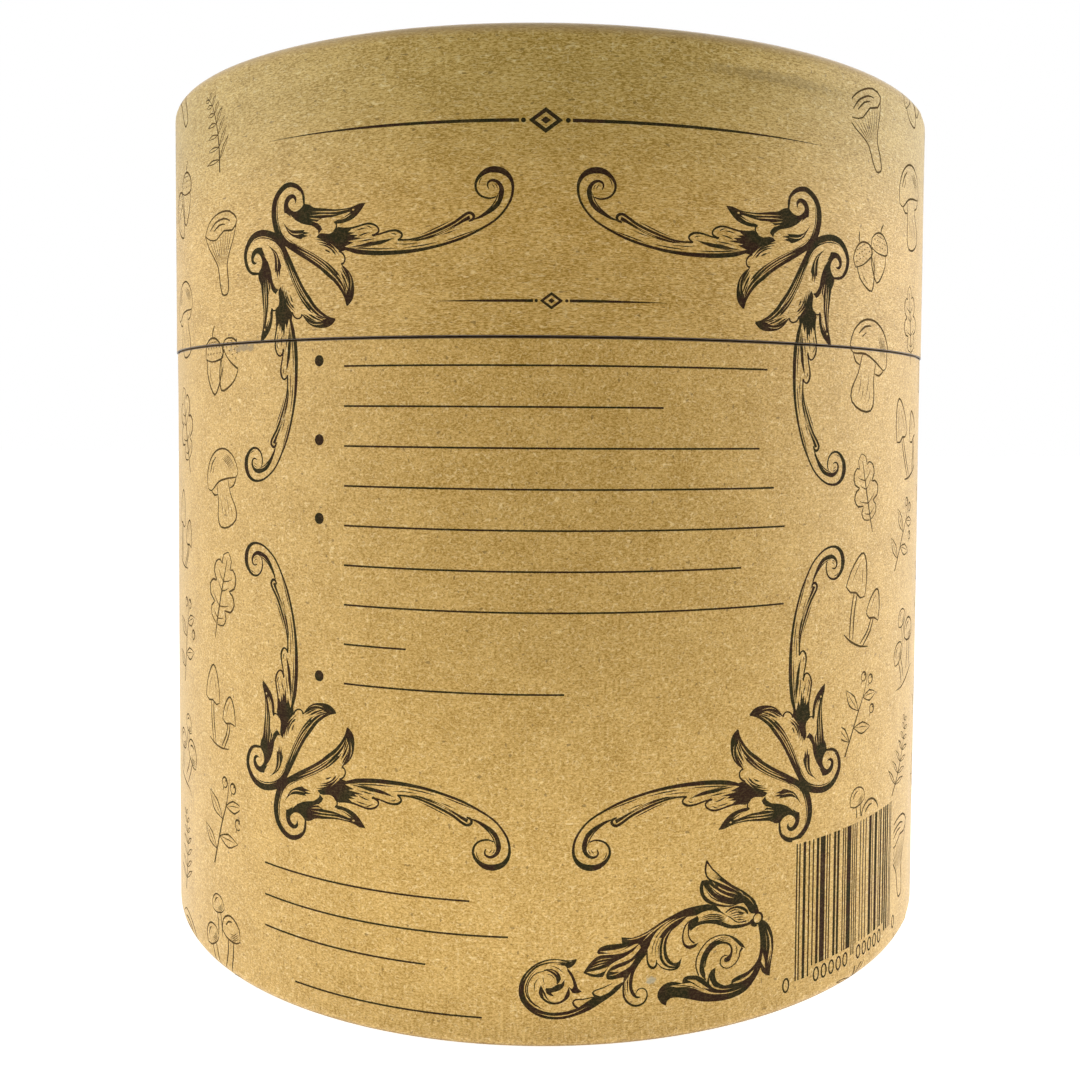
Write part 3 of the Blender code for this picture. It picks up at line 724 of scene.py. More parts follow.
    art.shape([(25.25, 28.2), (24.9, 27.2), (24.95, 26), (25.4, 25.1), (26.2, 24.4), (27.2, 23.9)],
              [(28.1, 23), (29.4, 22.4), (30.6, 21.9)], [(31.5, 21.4), (32.6, 20.5), (33.3, 19.6)],
              [(34.6, 19), (34.3, 20.1), (33.2, 21.2), (31.7, 22.35), (29.8, 23.55), (27.85, 25.15), (26.3, 26.65)])
    art.shape([(25.35, 27.5), (25.2, 26.6), (25.4, 25.6), (26.1, 24.9), (27.3, 24.3), (28.8, 23.5), (30.4, 22.6), (32, 21.6)],
              [(31.4, 22.2), (29.6, 23.4), (27.7, 24.95), (26.2, 26.4)], bare=True)
    art.shape([(24.4, 24.95), (24.05, 23.9), (24.3, 22.6), (25, 21.6), (25.9, 21)],
              [(27.2, 20.5), (28.6, 20.1), (30, 20), (32, 20.2), (33.1, 18.6), (33.9, 18.1), (35.1, 18.1)],
              [(34.7, 19.3), (33.9, 20.4), (32.7, 21.2), (31, 21.7), (29.4, 22.3), (28, 22.8)],
              [(27.4, 23.5), (26.4, 24.5), (25.3, 24.95)])
    art.pale([(24.7, 24.2), (25.2, 22.9), (26.4, 21.7), (28.4, 20.6), (30.4, 20.15)], [0, 0.75, 0.7, 0.25, 0])
    art.pale([(25.7, 24.2), (26.9, 22.9), (28.4, 22), (30.2, 21.3)], [0, 0.5, 0.35, 0])
    art.pale([(26.2, 24.6), (27.4, 23.4), (29, 22.6), (30.6, 22.05)], [0, 0.3, 0.16, 0])
    art.pale([(31.6, 21.7), (33, 20.8), (34.1, 19.4)], [0, 0.14, 0])
    art.dot((26.85, 23.7), 0.32, 1.6)
    art.line([(25.6, 23.1), (27, 22.2), (28.6, 21.4)], [0, 0.16, 0])
    art.shape([(34.8, 16.4), (35.6, 16.8), (36.8, 16), (37.7, 14.4), (38.05, 12.6), (37.95, 11), (37.6, 9.3), (37.35, 7.25)],
              [(36.5, 7.6), (35.75, 8.3), (35.5, 9)],
              [(35.0, 8.1), (33.8, 6.7), (32.3, 5.7), (30.35, 5.25), (28.4, 5.15), (26.5, 5.35), (24.6, 5.7),
               (22.65, 6.35), (20.7, 6.95), (19.4, 7), (18.8, 6.6)], [(18.65, 5.95), (17.85, 6.4), (17.2, 7.6), (17.6, 8.8),
               (18.8, 9.55), (20.15, 9.5), (21.3, 9.1)], [(21.35, 9.6), (21.7, 10.05), (22.65, 10.15), (24, 9.9), (25.15, 9.1), (25.5, 8.6)],
              [(25.85, 9.8), (26.4, 10.5), (27.05, 10.65)], [(26.95, 9.5), (27.3, 8.5), (28, 7.9), (28.9, 7.5), (29.9, 7.6)],
              [(30, 8.2), (31.3, 8.65), (32.85, 8.9), (34.2, 9.7), (35, 10.7), (35.35, 12.2), (35.3, 14.1)])
    art.pale([(36.6, 15.2), (37.3, 13.4), (37.3, 11.4), (36.9, 9.4)], [0, 0.3, 0.42, 0])
    art.pale([(36.3, 14.6), (36.7, 13), (36.6, 11.4)], [0, 0.15, 0])
    art.pale([(35.9, 11.3), (35.95, 10), (36.4, 8.7)], [0, 0.7, 0])
    art.pale([(37.75, 12.6), (37.55, 10.9), (37.2, 9)], [0, 0.16, 0])
    art.pale([(19.3, 8.95), (20.8, 8.75), (22.6, 8.6), (24.3, 7.8), (26, 6.85), (28, 6.35), (30, 6.2), (32, 6.5)],
             [0, 0.5, 0.75, 0.7, 0.3, 0.12, 0.12, 0])
    art.pale([(22.1, 9.55), (23.4, 9.1), (24.6, 8.2), (25.9, 7.5)], [0, 0.5, 0.5, 0])
    art.pale([(25.9, 9.3), (26.2, 8.3), (27, 7.5), (28.4, 6.95), (30.4, 6.8)], [0, 0.4, 0.3, 0.12, 0])
    art.pale([(30.1, 7.6), (31.8, 7.75), (33.2, 8.2), (34.2, 9)], [0, 0.65, 0.5, 0])
    for streak in ([(20.4, 8.6), (22.4, 8.3), (24.2, 7.4)], [(23.2, 9.6), (24.3, 8.9), (25, 8.1)], [(22.6, 9.1), (24, 8.2), (25.6, 7.2)]):
        art.line(streak, [0, 0.15, 0])
    art.shape([(25.55, 8.7), (25.1, 9.9), (25.05, 11), (25.1, 12.2), (25.7, 13.6), (27, 14.65), (28.4, 14.7), (29.6, 14.1),
               (30.1, 13.15), (30, 12.1), (29.6, 11.5), (29, 11.2), (28.6, 11.4)],
              [(28.6, 11.9), (29.1, 12.1), (29.6, 12.5), (29.75, 13.2), (29.3, 13.9), (28.4, 14.3), (27.2, 14.2), (26, 13.3),
               (25.4, 12), (25.2, 11), (24.7, 11.2), (24.4, 10.8), (24.6, 9.7)])
    art.shape([(25.2, 9.1), (24.3, 10.2), (24.25, 11.6), (24.6, 13), (25.5, 14.2), (26.8, 14.95), (28.3, 15.1)],
              [(26.9, 14.5), (25.7, 13.6), (25.1, 12.2), (25, 11), (25.3, 9.9)])
    art.line([(24.1, 9.9), (23.6, 11.4), (23.8, 13), (24.8, 14.5), (26.1, 15.45), (27.85, 15.75), (29.4, 15.4), (30.7, 14.5),
              (31.7, 13.5), (32.5, 12.8)], [0.22, 0.25, 0.25, 0.22, 0.2, 0.2, 0.25, 0.5, 0.6, 0.05])
    art.line([(31.9, 13), (31.45, 12.4), (31.3, 11.6), (30.6, 10.7), (29.4, 10.2), (28.4, 10.5), (27.85, 11.2), (28.04, 12.05),
              (28.7, 12.35), (29.2, 12.2)], [0.5, 0.3, 0.25, 0.22, 0.2, 0.2, 0.25, 0.25, 0.2, 0.1])
    art.line([(30.5, 14), (30.9, 12.9), (30.6, 11.8)], [0.02, 0.18, 0.02])
    art.dot((29.15, 11.65), 0.42, 1.5)
    for first, second, count, width in (
        ([(-1.4, 13.7), (-3.1, 12.2), (-3.95, 10.3), (-3.75, 8.4), (-2.5, 6.8), (-0.2, 5.8)],
         [(-1.2, 13.2), (-2.5, 11.9), (-3.25, 10.2), (-3.05, 8.6), (-1.95, 7.3), (0.2, 6.3)], 3, 0.2),
        ([(2.0, 14.15), (3.0, 14.0), (4.0, 14.0)], [(0.9, 13.75), (2.2, 13.5), (3.2, 13.3)], 4, 0.17),
        ([(-0.2, 12.1), (0.7, 11.9), (1.2, 11.2)], [(-1.2, 11.6), (-1.9, 10.6), (-1.9, 9.2)], 3, 0.15),
        ([(24.9, 23.8), (26.1, 22.1), (28.1, 20.95), (30.2, 20.45)], [(25.6, 24.2), (27.0, 22.7), (28.9, 21.6), (30.8, 21.0)], 4, 0.2),
        ([(26.0, 24.6), (27.5, 23.2), (29.6, 22.1)], [(27.0, 24.2), (28.5, 23.3), (30.4, 22.3)], 3, 0.16),
        ([(25.9, 25.4), (27.7, 24.5), (29.8, 23.1), (31.7, 21.8)], [(26.5, 25.9), (28.1, 24.7), (29.9, 23.3), (31.5, 22.1)], 4, 0.16),
        ([(24.0, 18.95), (25.8, 19.35), (27.5, 19.05), (28.8, 18.4)], [(24.3, 18.15), (26.0, 18.15), (27.8, 17.85), (29.2, 17.3)], 5, 0.2),
        ([(29.0, 19.0), (30.4, 19.4), (31.6, 19.0)], [(30.2, 17.8), (31.4, 17.65), (32.6, 17.45)], 5, 0.2),
        ([(30.0, 17.0), (31.4, 16.75), (32.8, 16.8)], [(29.4, 16.85), (31.0, 16.5), (32.6, 16.5)], 2, 0.2),
        ([(24.45, 11.2), (24.8, 13.1), (26.1, 14.7), (28.2, 15.35), (30.0, 14.8)],
         [(25.05, 11.6), (25.5, 13.2), (26.7, 14.4), (28.4, 14.85), (29.9, 14.3)], 3, 0.16),
        ([(19.6, 8.9), (21.2, 8.75), (23.0, 8.3), (24.8, 7.4)], [(20.2, 8.45), (21.8, 8.1), (23.5, 7.6), (25.2, 6.9)], 3, 0.17),
        ([(26.1, 9.0), (26.8, 7.8), (28.3, 7.1)], [(26.3, 9.6), (27.2, 8.2), (28.6, 7.4)], 3, 0.15),
        ([(30.4, 7.8), (32.0, 8.0), (33.6, 8.6)], [(30.8, 7.4), (32.4, 7.6), (33.9, 8.3)], 2, 0.15),
        ([(37.0, 14.2), (37.25, 12.2), (36.9, 10.0)], [(36.5, 14.2), (36.8, 12.2), (36.4, 10.2)], 3, 0.13),
        ([(16.3, 13.8), (16.35, 15.4), (17.1, 17.2)], [(17.9, 13.5), (17.75, 15.0), (18.2, 16.5)], 4, 0.13),
        ([(12.2, 10.6), (12.0, 9.2), (12.3, 7.9)], [(12.55, 10.8), (12.4, 9.4), (12.6, 8.2)], 2, 0.13),
    ):
        art.hatch(first, second, count, width)
    return art


FLOURISH = flourish()
print("flourish:", len(FLOURISH.marks), "marks")

# %% [markdown]
# ## Ruled lines, bullets and a bar pattern
#
# The panel has ruled lines to write on, each item with a bullet, between two ornamental rules.
# The bar pattern keeps a retail symbol's size and rhythm, over a row of noughts. Its bars come
# from the standard's own widths for the digits 0 to 9.

# %% Everything that is ruled or stamped on the front panel
def rule_between(art, start, stop, height, thickness, lozenge):
    """A rule with a lozenge at its middle that tapers to its ends."""
    middle = (start + stop) / 2
    for end in (start, stop):
        inner = middle + math.copysign(lozenge * 2.1, end - middle)
        art.line([(inner, height), ((inner + end) / 2, height), (end, height)], [thickness, thickness * 0.8, 0.05])
        beads = middle + math.copysign(lozenge * 1.75, end - middle)
        art.dot((beads, height), lozenge * 0.2, sides=10)
    for size, bare in ((1.0, False), (0.62, True), (0.3, False)):
        reach = lozenge * size
        art.spikes([(middle - reach * 1.35, height), (middle, height - reach), (middle + reach * 1.35, height),
                    (middle, height + reach)], bare=bare)


def ruled_panel():
    art = Drawing()
    rule_between(art, -48.0, 46.0, 140.8, 0.55, 1.9)
    rule_between(art, -17.6, 17.6, 114.2, 0.45, 1.3)
    ends = (35.3, 17.3, 34.0, 36.9, 39.2, 30.8, 39.2, -22.3, 2.3)
    for row, end in enumerate(ends):
        base = 104.6 - 6.2 * row
        art.line([(-33.2, base), (end, base)], [0.3, 0.3])
    for height in (105.5, 93.1, 80.7, 55.7):
        art.dot((-38.0, height), 0.9, sides=20)
    for row, (start, stop) in enumerate(((-50.5, -12.0), (-50.5, -6.0), (-50.5, -19.0), (-43.3, -10.0))):
        base = (23.0, 17.7, 12.5, 5.0)[row]
        art.line([(start, base), (stop, base)], [0.3, 0.3])
    return art


LEFT_BARS = ("0001101", "0011001", "0010011", "0111101", "0100011", "0110001", "0101111", "0111011", "0110111", "0001011")
BARS_WIDE, BARS_LEFT, BARS_TOP, BARS_FOOT, GUARD_FOOT = 30.2, 42.7, 27.7, 6.5, 4.9


def bar_pattern():
    """Guard bars, six digits, guard bars, six digits, guard bars: 95 modules. The outer digits are long too."""
    art = Drawing()
    first = "".join(LEFT_BARS[digit] for digit in (1, 2, 3, 4, 5, 6))
    second = "".join(LEFT_BARS[digit].translate(str.maketrans("01", "10")) for digit in (7, 8, 9, 0, 1, 2))
    modules = "101" + first + "01010" + second + "101"
    module = BARS_WIDE / len(modules)
    quiet_left, quiet_right = BARS_LEFT - 1.0, BARS_LEFT + BARS_WIDE + 1.6
    art.spikes([(quiet_left, 2.6), (quiet_right, 2.6), (quiet_right, BARS_TOP + 0.8), (quiet_left, BARS_TOP + 0.8)], bare=True)
    guards = {*range(10), *range(45, 50), *range(85, 95)}
    place = 0
    while place < len(modules):
        run = 1
        while place + run < len(modules) and modules[place + run] == modules[place]:
            run += 1
        if modules[place] == "1":
            left, right = BARS_LEFT + place * module, BARS_LEFT + (place + run) * module
            foot = GUARD_FOOT if place in guards else BARS_FOOT
            art.spikes([(left, foot), (right, foot), (right, BARS_TOP), (left, BARS_TOP)])
        place += run
    noughts = [BARS_LEFT - 1.9, BARS_LEFT + BARS_WIDE + 1.9]
    noughts += [BARS_LEFT + module * (first + 6.2 * i) for first in (16.0, 54.0) for i in range(5)]
    for middle in noughts:
        turn = np.linspace(0, math.tau, 13)
        ring = np.column_stack([middle + 0.62 * np.cos(turn), 4.75 + 1.1 * np.sin(turn)])
        art.marks.append((stroke(ring, [0.34, 0.34]), True))
    return art


front_panel = Drawing()
front_panel.add(panel_frame, lambda p: p)
for drawing in (FLOURISH, ruled_panel(), bar_pattern()):
    front_panel.add(drawing, enlarged)
print("front panel:", len(front_panel.marks), "marks")
# %% [markdown]
# ## Woodland drawings on the sides
#
# Between the two panels the paper is covered with small line drawings of woodland things. Each
# is drawn once, about 18 mm high round its own middle, and then set out on a staggered grid
# with a little turn, so no two neighbours are the same. A thin line and a browner ink keep
# them behind the frame.

# %% Eight small drawings
PEN = 0.44


def outline_set(*lines):
    art = Drawing()
    for points in lines:
        art.line(points, [PEN * 0.6, PEN, PEN, PEN * 0.5])
    return art


def bolete():
    art = outline_set(
        [(-7.4, 1.6), (-6.9, 4.6), (-4.4, 7.4), (-0.6, 8.6), (3.4, 7.9), (6.4, 5.3), (7.3, 2.0)],
        [(-7.4, 1.6), (-5.6, 0.6), (-1.5, 1.7), (3.0, 1.4), (6.2, 0.9), (7.3, 2.0)],
        [(-2.6, 1.2), (-2.9, -2.4), (-4.0, -6.0), (-3.2, -8.2), (0.2, -8.9), (3.6, -8.0), (4.2, -5.6), (2.9, -2.0), (2.7, 1.1)],
        [(-5.6, 0.5), (-4.4, -0.7), (-2.8, -0.9)], [(6.2, 0.8), (4.8, -0.6), (3.0, -0.8)],
        [(-5.2, 4.6), (-3.6, 6.4), (-1.4, 7.3)], [(-4.0, 4.3), (-2.8, 5.5)])
    for x, low, high in ((-1.7, -6.6, -2.2), (-0.4, -7.2, -4.0), (1.0, -6.4, -1.6), (2.2, -6.9, -4.4)):
        art.line([(x, low), (x + 0.2, (low + high) / 2), (x - 0.1, high)], [0.05, 0.22, 0.05])
    art.hatch([(3.0, 7.0), (5.2, 5.0), (6.2, 2.6)], [(1.2, 6.6), (3.6, 4.2), (4.2, 2.4)], 5, 0.2)
    return art


def bell_pair():
    art = outline_set(
        [(-6.8, 0.8), (-6.2, 4.0), (-4.6, 7.2), (-3.0, 8.4), (-1.5, 7.0), (-0.2, 3.8), (0.2, 0.6)],
        [(-6.8, 0.8), (-5.0, 0.1), (-3.2, 0.5), (-1.4, -0.1), (0.2, 0.6)],
        [(-3.8, 0.2), (-3.5, -3.5), (-2.4, -8.4)], [(-2.7, 0.3), (-2.4, -3.5), (-1.2, -8.3)],
        [(1.8, -2.4), (2.4, 0.2), (3.8, 2.5), (5.0, 3.0), (6.0, 1.9), (6.9, -0.4), (7.2, -2.8)],
        [(1.8, -2.4), (3.4, -3.1), (5.2, -2.6), (7.2, -2.8)],
        [(4.1, -2.9), (3.6, -5.4), (1.6, -8.6)], [(5.0, -2.8), (4.6, -5.4), (2.7, -8.8)],
        [(-4.4, -8.0), (-1.8, -8.8), (1.8, -9.0), (4.8, -8.4)])
    for points in ([(-5.2, 1.6), (-4.4, 4.6), (-3.4, 6.6)], [(-3.3, 1.6), (-3.1, 4.2)], [(-1.4, 1.4), (-1.9, 4.0), (-2.6, 6.0)],
                   [(3.2, -1.7), (3.9, 0.6), (4.7, 1.9)], [(5.9, -1.8), (5.5, 0.4)]):
        art.line(points, [0.05, 0.22, 0.05])
    return art


def fern():
    art = Drawing()
    spine = curve([(-3.4, -9.2), (-1.2, -4.2), (0.2, 1.0), (0.4, 5.6), (-1.0, 9.2)], 0.8)
    art.line([(-3.4, -9.2), (-1.2, -4.2), (0.2, 1.0), (0.4, 5.6), (-1.0, 9.2)], [0.5, PEN, 0.3, 0.1])
    for i in range(9):
        t = 0.14 + 0.092 * i
        at = spine[int(t * (len(spine) - 1))]
        reach = 5.6 * (1 - t) ** 0.8 + 0.8
        for side in (-1, 1):
            tip = at + np.array([side * reach, reach * 0.42])
            bow = (at + tip) / 2 + np.array([0.0, 0.55])
            low = (at + tip) / 2 - np.array([0.0, 0.35])
            art.line([at, bow, tip], [0.22, 0.3, 0.1])
            art.line([at, low, tip], [0.15, 0.22, 0.1])
    return art


def oak_leaf():
    side = [(0.4, -6.4), (2.6, -5.6), (3.2, -3.9), (2.2, -2.6), (4.3, -2.0), (5.2, -0.1), (4.0, 1.4), (2.7, 1.7),
            (4.2, 3.0), (4.1, 5.1), (2.6, 6.2), (1.6, 5.8), (1.6, 7.6), (0.0, 8.8)]
    art = outline_set(side, [(-x, y) for x, y in side], [(0.2, -9.4), (0.0, -6.0), (-0.1, 0.0), (0.0, 7.2)])
    for low, high, reach in ((-5.2, -4.2, 2.2), (-2.6, -0.9, 3.6), (0.6, 2.4, 2.4), (2.6, 4.4, 2.9)):
        for turn in (-1, 1):
            art.line([(0, low), (turn * reach * 0.6, (low + high) / 2), (turn * reach, high)], [0.28, 0.22, 0.05])
    return art


def acorns():
    art = Drawing()
    for x, y, lean in ((-3.2, -0.6, 0.32), (3.4, 1.0, -0.3)):
        turn = np.array([[math.cos(lean), -math.sin(lean)], [math.sin(lean), math.cos(lean)]])
        nut = outline_set(
            [(-3.1, 0.4), (-3.2, -2.4), (-1.8, -5.2), (0, -6.8), (1.8, -5.2), (3.2, -2.4), (3.1, 0.4)],
            [(-3.7, 0.2), (-3.6, 2.2), (-1.8, 3.7), (0, 4.1), (1.8, 3.7), (3.6, 2.2), (3.7, 0.2), (1.6, -0.3), (0, -0.4),
             (-1.6, -0.3), (-3.7, 0.2)],
            [(0, 4.1), (0.2, 5.2), (1.0, 6.4)])
        for row, width in ((0.9, 3.1), (2.0, 2.7), (3.0, 1.7)):
            for k in range(5):
                across = (k - 2) * width / 2.3
                nut.line([(across - 0.35, row), (across, row + 0.35), (across + 0.35, row)], [0.05, 0.24, 0.05])
        nut.line([(-1.9, -1.4), (-1.7, -3.2), (-0.8, -4.9)], [0.05, 0.24, 0.05])
        art.add(nut, lambda p: p @ turn.T + np.array([x, y]))
    return art


def berry_twig():
    art = Drawing()
    art.line([(-4.6, -8.8), (-2.6, -4.6), (-0.6, -0.4), (1.8, 4.0), (3.2, 8.6)], [0.5, 0.42, PEN, 0.3, 0.15])
    for foot, tip, bow in (((-3.2, -5.8), (-8.2, -1.6), 1.3), ((-1.8, -3.0), (5.2, -3.4), -1.4), ((-0.2, 0.5), (-5.4, 5.4), 1.4),
                           ((1.4, 3.3), (7.2, 3.8), -1.3)):
        foot, tip = np.array(foot), np.array(tip)
        across = np.array([-(tip - foot)[1], (tip - foot)[0]]) / np.linalg.norm(tip - foot)
        for swell in (bow, -bow * 0.8):
            art.line([foot, (foot + tip) / 2 + across * swell, tip], [0.2, PEN * 0.9, 0.12])
        art.line([foot, (foot + tip) / 2 + across * 0.1, foot + (tip - foot) * 0.85], [0.05, 0.22, 0.05])
    for x, y in ((4.4, 7.0), (1.4, 7.8), (5.6, 0.4)):
        art.line([(x - 0.9, y - 1.6), (x - 0.5, y - 0.8)], [0.2, 0.25])
        art.dot((x, y), 1.15)
        art.dot((x - 0.1, y - 0.1), 0.8, bare=True)
        art.dot((x + 0.35, y + 0.3), 0.25, sides=8)
    return art


def button_trio():
    art = Drawing()
    for x, y, size, lean in ((-4.2, -1.5, 0.85, 0.3), (3.8, 0.2, 1.0, -0.25), (-0.6, 5.0, 0.75, 0.05)):
        turn = np.array([[math.cos(lean), -math.sin(lean)], [math.sin(lean), math.cos(lean)]]) * size
        cap = outline_set(
            [(-3.6, 0.2), (-3.3, 2.4), (-1.4, 3.9), (0.8, 3.9), (2.9, 2.6), (3.5, 0.3)],
            [(-3.6, 0.2), (-1.8, -0.7), (0.4, -0.8), (2.2, -0.5), (3.5, 0.3)],
            [(-1.0, -0.7), (-0.9, -3.6), (-1.6, -7.0)], [(1.0, -0.7), (1.1, -3.6), (0.7, -7.0)],
            [(-2.2, 1.6), (-1.2, 2.7), (0.2, 3.1)])
        cap.hatch([(3.1, 1.0), (1.6, -0.2), (-0.4, -0.4)], [(2.6, 2.0), (1.2, 0.8), (-0.6, 0.5)], 4, 0.2)
        art.add(cap, lambda p: p @ turn.T + np.array([x, y]))
    art.line([(-7.6, -7.6), (-4.0, -8.4), (0.6, -8.0), (4.4, -7.2), (6.6, -7.6)], [0.1, PEN, PEN, 0.1])
    return art


def funnel():
    art = outline_set(
        [(-7.2, 5.6), (-4.6, 7.8), (0.0, 8.6), (4.8, 7.7), (7.4, 5.2), (5.2, 3.5), (1.9, 4.3), (-1.7, 3.3), (-4.8, 4.1), (-7.2, 5.6)],
        [(-7.2, 5.6), (-5.6, 2.4), (-3.2, -0.7), (-1.9, -3.0), (-1.7, -6.4), (-1.1, -8.8), (0.2, -9.3), (1.4, -8.9), (1.9, -6.2),
         (1.9, -3.2), (3.3, -0.8), (5.6, 2.0), (7.4, 5.2)],
        [(-4.4, 6.0), (-1.6, 7.0), (2.4, 6.8), (4.6, 5.7)], [(-2.8, 5.4), (0.2, 6.0), (2.6, 5.5)])
    for i in range(9):
        across = i / 4 - 1
        art.line([(5.0 * across, 3.6), (3.1 * across, 0.4), (1.4 * across, -2.6)], [0.08, 0.24, 0.05])
    return art


MOTIFS = [bolete(), fern(), bell_pair(), acorns(), button_trio(), oak_leaf(), funnel(), berry_twig()]
print("drawings:", len(MOTIFS), "with", [sum(len(o) for o, _ in motif.marks) for motif in MOTIFS], "points")

# %% Setting the drawings out
BAND_EDGES = (-59.8, 55.5)
BACK_AXIS = PANEL_AXIS * READ_SCALE - AROUND / 2
BAND_PITCH, BAND_ROW = 19.3, 20.6


def set_out(start, direction, columns):
    """Columns of drawings from a panel's edge, each column half a row off its neighbours."""
    chance = random.Random(41)
    art = Drawing()
    for column in range(columns):
        u = start + direction * (6.2 + BAND_PITCH * column)
        for row in range(-1, 9):
            v = 6.0 + BAND_ROW * (row + 0.5 * (column % 2)) + chance.uniform(-1.2, 1.2)
            lean = math.radians(chance.uniform(-28, 28))
            size = chance.uniform(0.80, 0.98)
            turn = np.array([[math.cos(lean), -math.sin(lean)], [math.sin(lean), math.cos(lean)]]) * size
            spot = np.array([u + chance.uniform(-1.2, 1.2), v])
            motif = MOTIFS[(row * 3 + column * 5 + (1 if direction > 0 else 4)) % len(MOTIFS)]
            if -12 < v < 172:
                art.add(motif, lambda p: p @ turn.T + spot)
    return art


def toothed_fungus():
    """A drawing of the fungus: rows of hanging teeth, longer towards the foot."""
    art = Drawing()
    chance = random.Random(7)
    art.line([(-17, 6), (-19, 14), (-15, 22), (-7, 26.5), (1, 27.5), (9, 26), (16, 21), (19, 13), (17.5, 5)],
             [0.5, 0.8, 0.7, 0.6, 0.7, 0.8, 0.5])
    for row in range(13):
        t = row / 12
        height = 24.5 - 37 * t
        reach = 17.5 * math.sin(math.pi * (0.16 + 0.68 * t)) ** 0.7 + 0.6
        count = int(reach * 0.95)
        for k in range(count + 1):
            x = -reach + 2 * reach * k / count + chance.uniform(-0.5, 0.5)
            fall = 3.6 + 4.2 * t + chance.uniform(-0.8, 0.8) - 1.4 * abs(x) / 18
            sway = -x * 0.035
            top = height + chance.uniform(-0.7, 0.7) - 0.012 * x * x
            for side in (-0.42, 0.42):
                art.line([(x + side, top), (x + side * 0.7 + sway, top - fall * 0.6), (x + sway * 1.6, top - fall)],
                         [0.28, 0.26, 0.12])
    return art


woodland = Drawing()
woodland.add(set_out(BAND_EDGES[0], -1, 8), lambda p: p)
woodland_right = Drawing()
woodland_right.add(set_out(BAND_EDGES[1], 1, 8), lambda p: p)
back_panel = Drawing()
back_panel.add(panel_frame, lambda p: p + np.array([BACK_AXIS - PANEL_AXIS * READ_SCALE, 0.0]))
back_panel.add(toothed_fungus(), lambda p: p * 1.15 + np.array([BACK_AXIS, 78.0]))
print("bands:", len(woodland.marks), len(woodland_right.marks), "marks; back panel:", len(back_panel.marks))
# %% [markdown]
# ## Wrapping the printed sheets
#
# On the real canister the print lies in the paper, so nothing is raised. Here the flat sheet
# is cut along every outline of the print: a constrained triangulation takes the outlines as
# edges and fills the sheet with triangles that never cross them. Each triangle then gets
# either the paper or the ink. Last, the sheet is rolled round the canister and over the rims.
#
# A texture could carry the print as well, but its edges would be as coarse as its pixels.

# %% The two sheets' sections
def arc(middle, radius, start, stop, steps=24):
    turns = np.radians(np.linspace(start, stop, steps + 1))
    return [(middle[0] + radius * math.cos(a), middle[1] + radius * math.sin(a)) for a in turns]


class Section:
    """A sheet's outer face in section, from its lowest edge up, as distance from the axis and height."""

    def __init__(self, points, wall_start):
        self.points = np.array(points)
        steps = np.linalg.norm(np.diff(self.points, axis=0), axis=1)
        self.along = np.concatenate([[0], np.cumsum(steps)])
        corner = int(np.argmin(np.abs(self.points[:, 1] - wall_start) + np.abs(self.points[:, 0] - self.points[:, 0].max())))
        self.along += wall_start - self.along[corner]
        self.low, self.high = self.along[0], self.along[-1]

    def at(self, v):
        return np.interp(v, self.along, self.points[:, 0]), np.interp(v, self.along, self.points[:, 1])


roll_middle = (BODY_RADIUS - BODY_ROLL, BODY_ROLL_HEIGHT)
BODY_SECTION = Section([*arc(roll_middle, BODY_ROLL, -45, 0), (BODY_RADIUS, BODY_TOP)], BODY_ROLL_HEIGHT)
rim_height = TOTAL_HEIGHT - LID_ROLL
outer_middle = (LID_RADIUS - LID_ROLL, rim_height)
inner_middle = (LID_RADIUS - LID_ROLL - HEM_FLAT, rim_height)
hem_end = (inner_middle[0] - LID_ROLL, rim_height - HEM_LIP)
LID_SECTION = Section(
    [(LID_RADIUS, LID_BOTTOM), *arc(outer_middle, LID_ROLL, 0, 90), *arc(inner_middle, LID_ROLL, 90, 180), hem_end],
    LID_BOTTOM,
)
print(f"body sheet {BODY_SECTION.low:.2f} to {BODY_SECTION.high:.2f}, lid sheet {LID_SECTION.low:.2f} to {LID_SECTION.high:.2f}")

# %% [markdown]
# The sheet's two ends overlap on the right-hand side, where the paper's thickness makes a fine
# step. Board that has been handled isn't perfectly round either: the lid has a shallow dent
# under its rim, and the wall wavers by a tenth of a millimetre.

# %% Where a point of a sheet lies
OVERLAP_AT = 88.4
OVERLAP_RUN = 10.0
OVERLAP_RISE = 0.12
SHEET_START = OVERLAP_AT - AROUND + 0.03


def bump_of(x, middle, reach):
    """A soft bump: 1 at its middle, 0 beyond its reach."""
    t = np.clip(1 - ((x - middle) / reach) ** 2, 0, 1)
    return t * t


def wavering(u, v):
    """How far the wall stands out from the true circle, in millimetres."""
    turn = u / LID_RADIUS
    wall = np.clip((v - 6.0) / 12.0, 0, 1) * np.clip((157.0 - v) / 8.0, 0, 1)
    seam = 1 - bump_of(v, (BODY_TOP + LID_BOTTOM) / 2, 10.0)
    swell = 0.030 * np.sin(3 * turn + 0.8 + v * 0.03) + 0.020 * np.sin(7 * turn - 1.3 - v * 0.05) - 0.05
    dent = -0.30 * bump_of(u, 44.0, 26.0) * bump_of(v, 156.2 + 0.05 * (u - 44.0), 2.9)
    dent = dent - 0.16 * bump_of(u, -30.0, 22.0) * bump_of(v, 151.0, 6.0)
    barrel = 0.16 * bump_of(v, 50.0, 58.0)
    overlap = OVERLAP_RISE * np.clip((u - OVERLAP_AT + OVERLAP_RUN) / OVERLAP_RUN, 0, 1) ** 2
    return swell * wall * seam + barrel + dent + overlap


def outer_face(section, u, v):
    distance, height = section.at(v)
    distance = distance + wavering(u, v)
    return np.column_stack([distance * np.sin(u / LID_RADIUS), -distance * np.cos(u / LID_RADIUS), height])


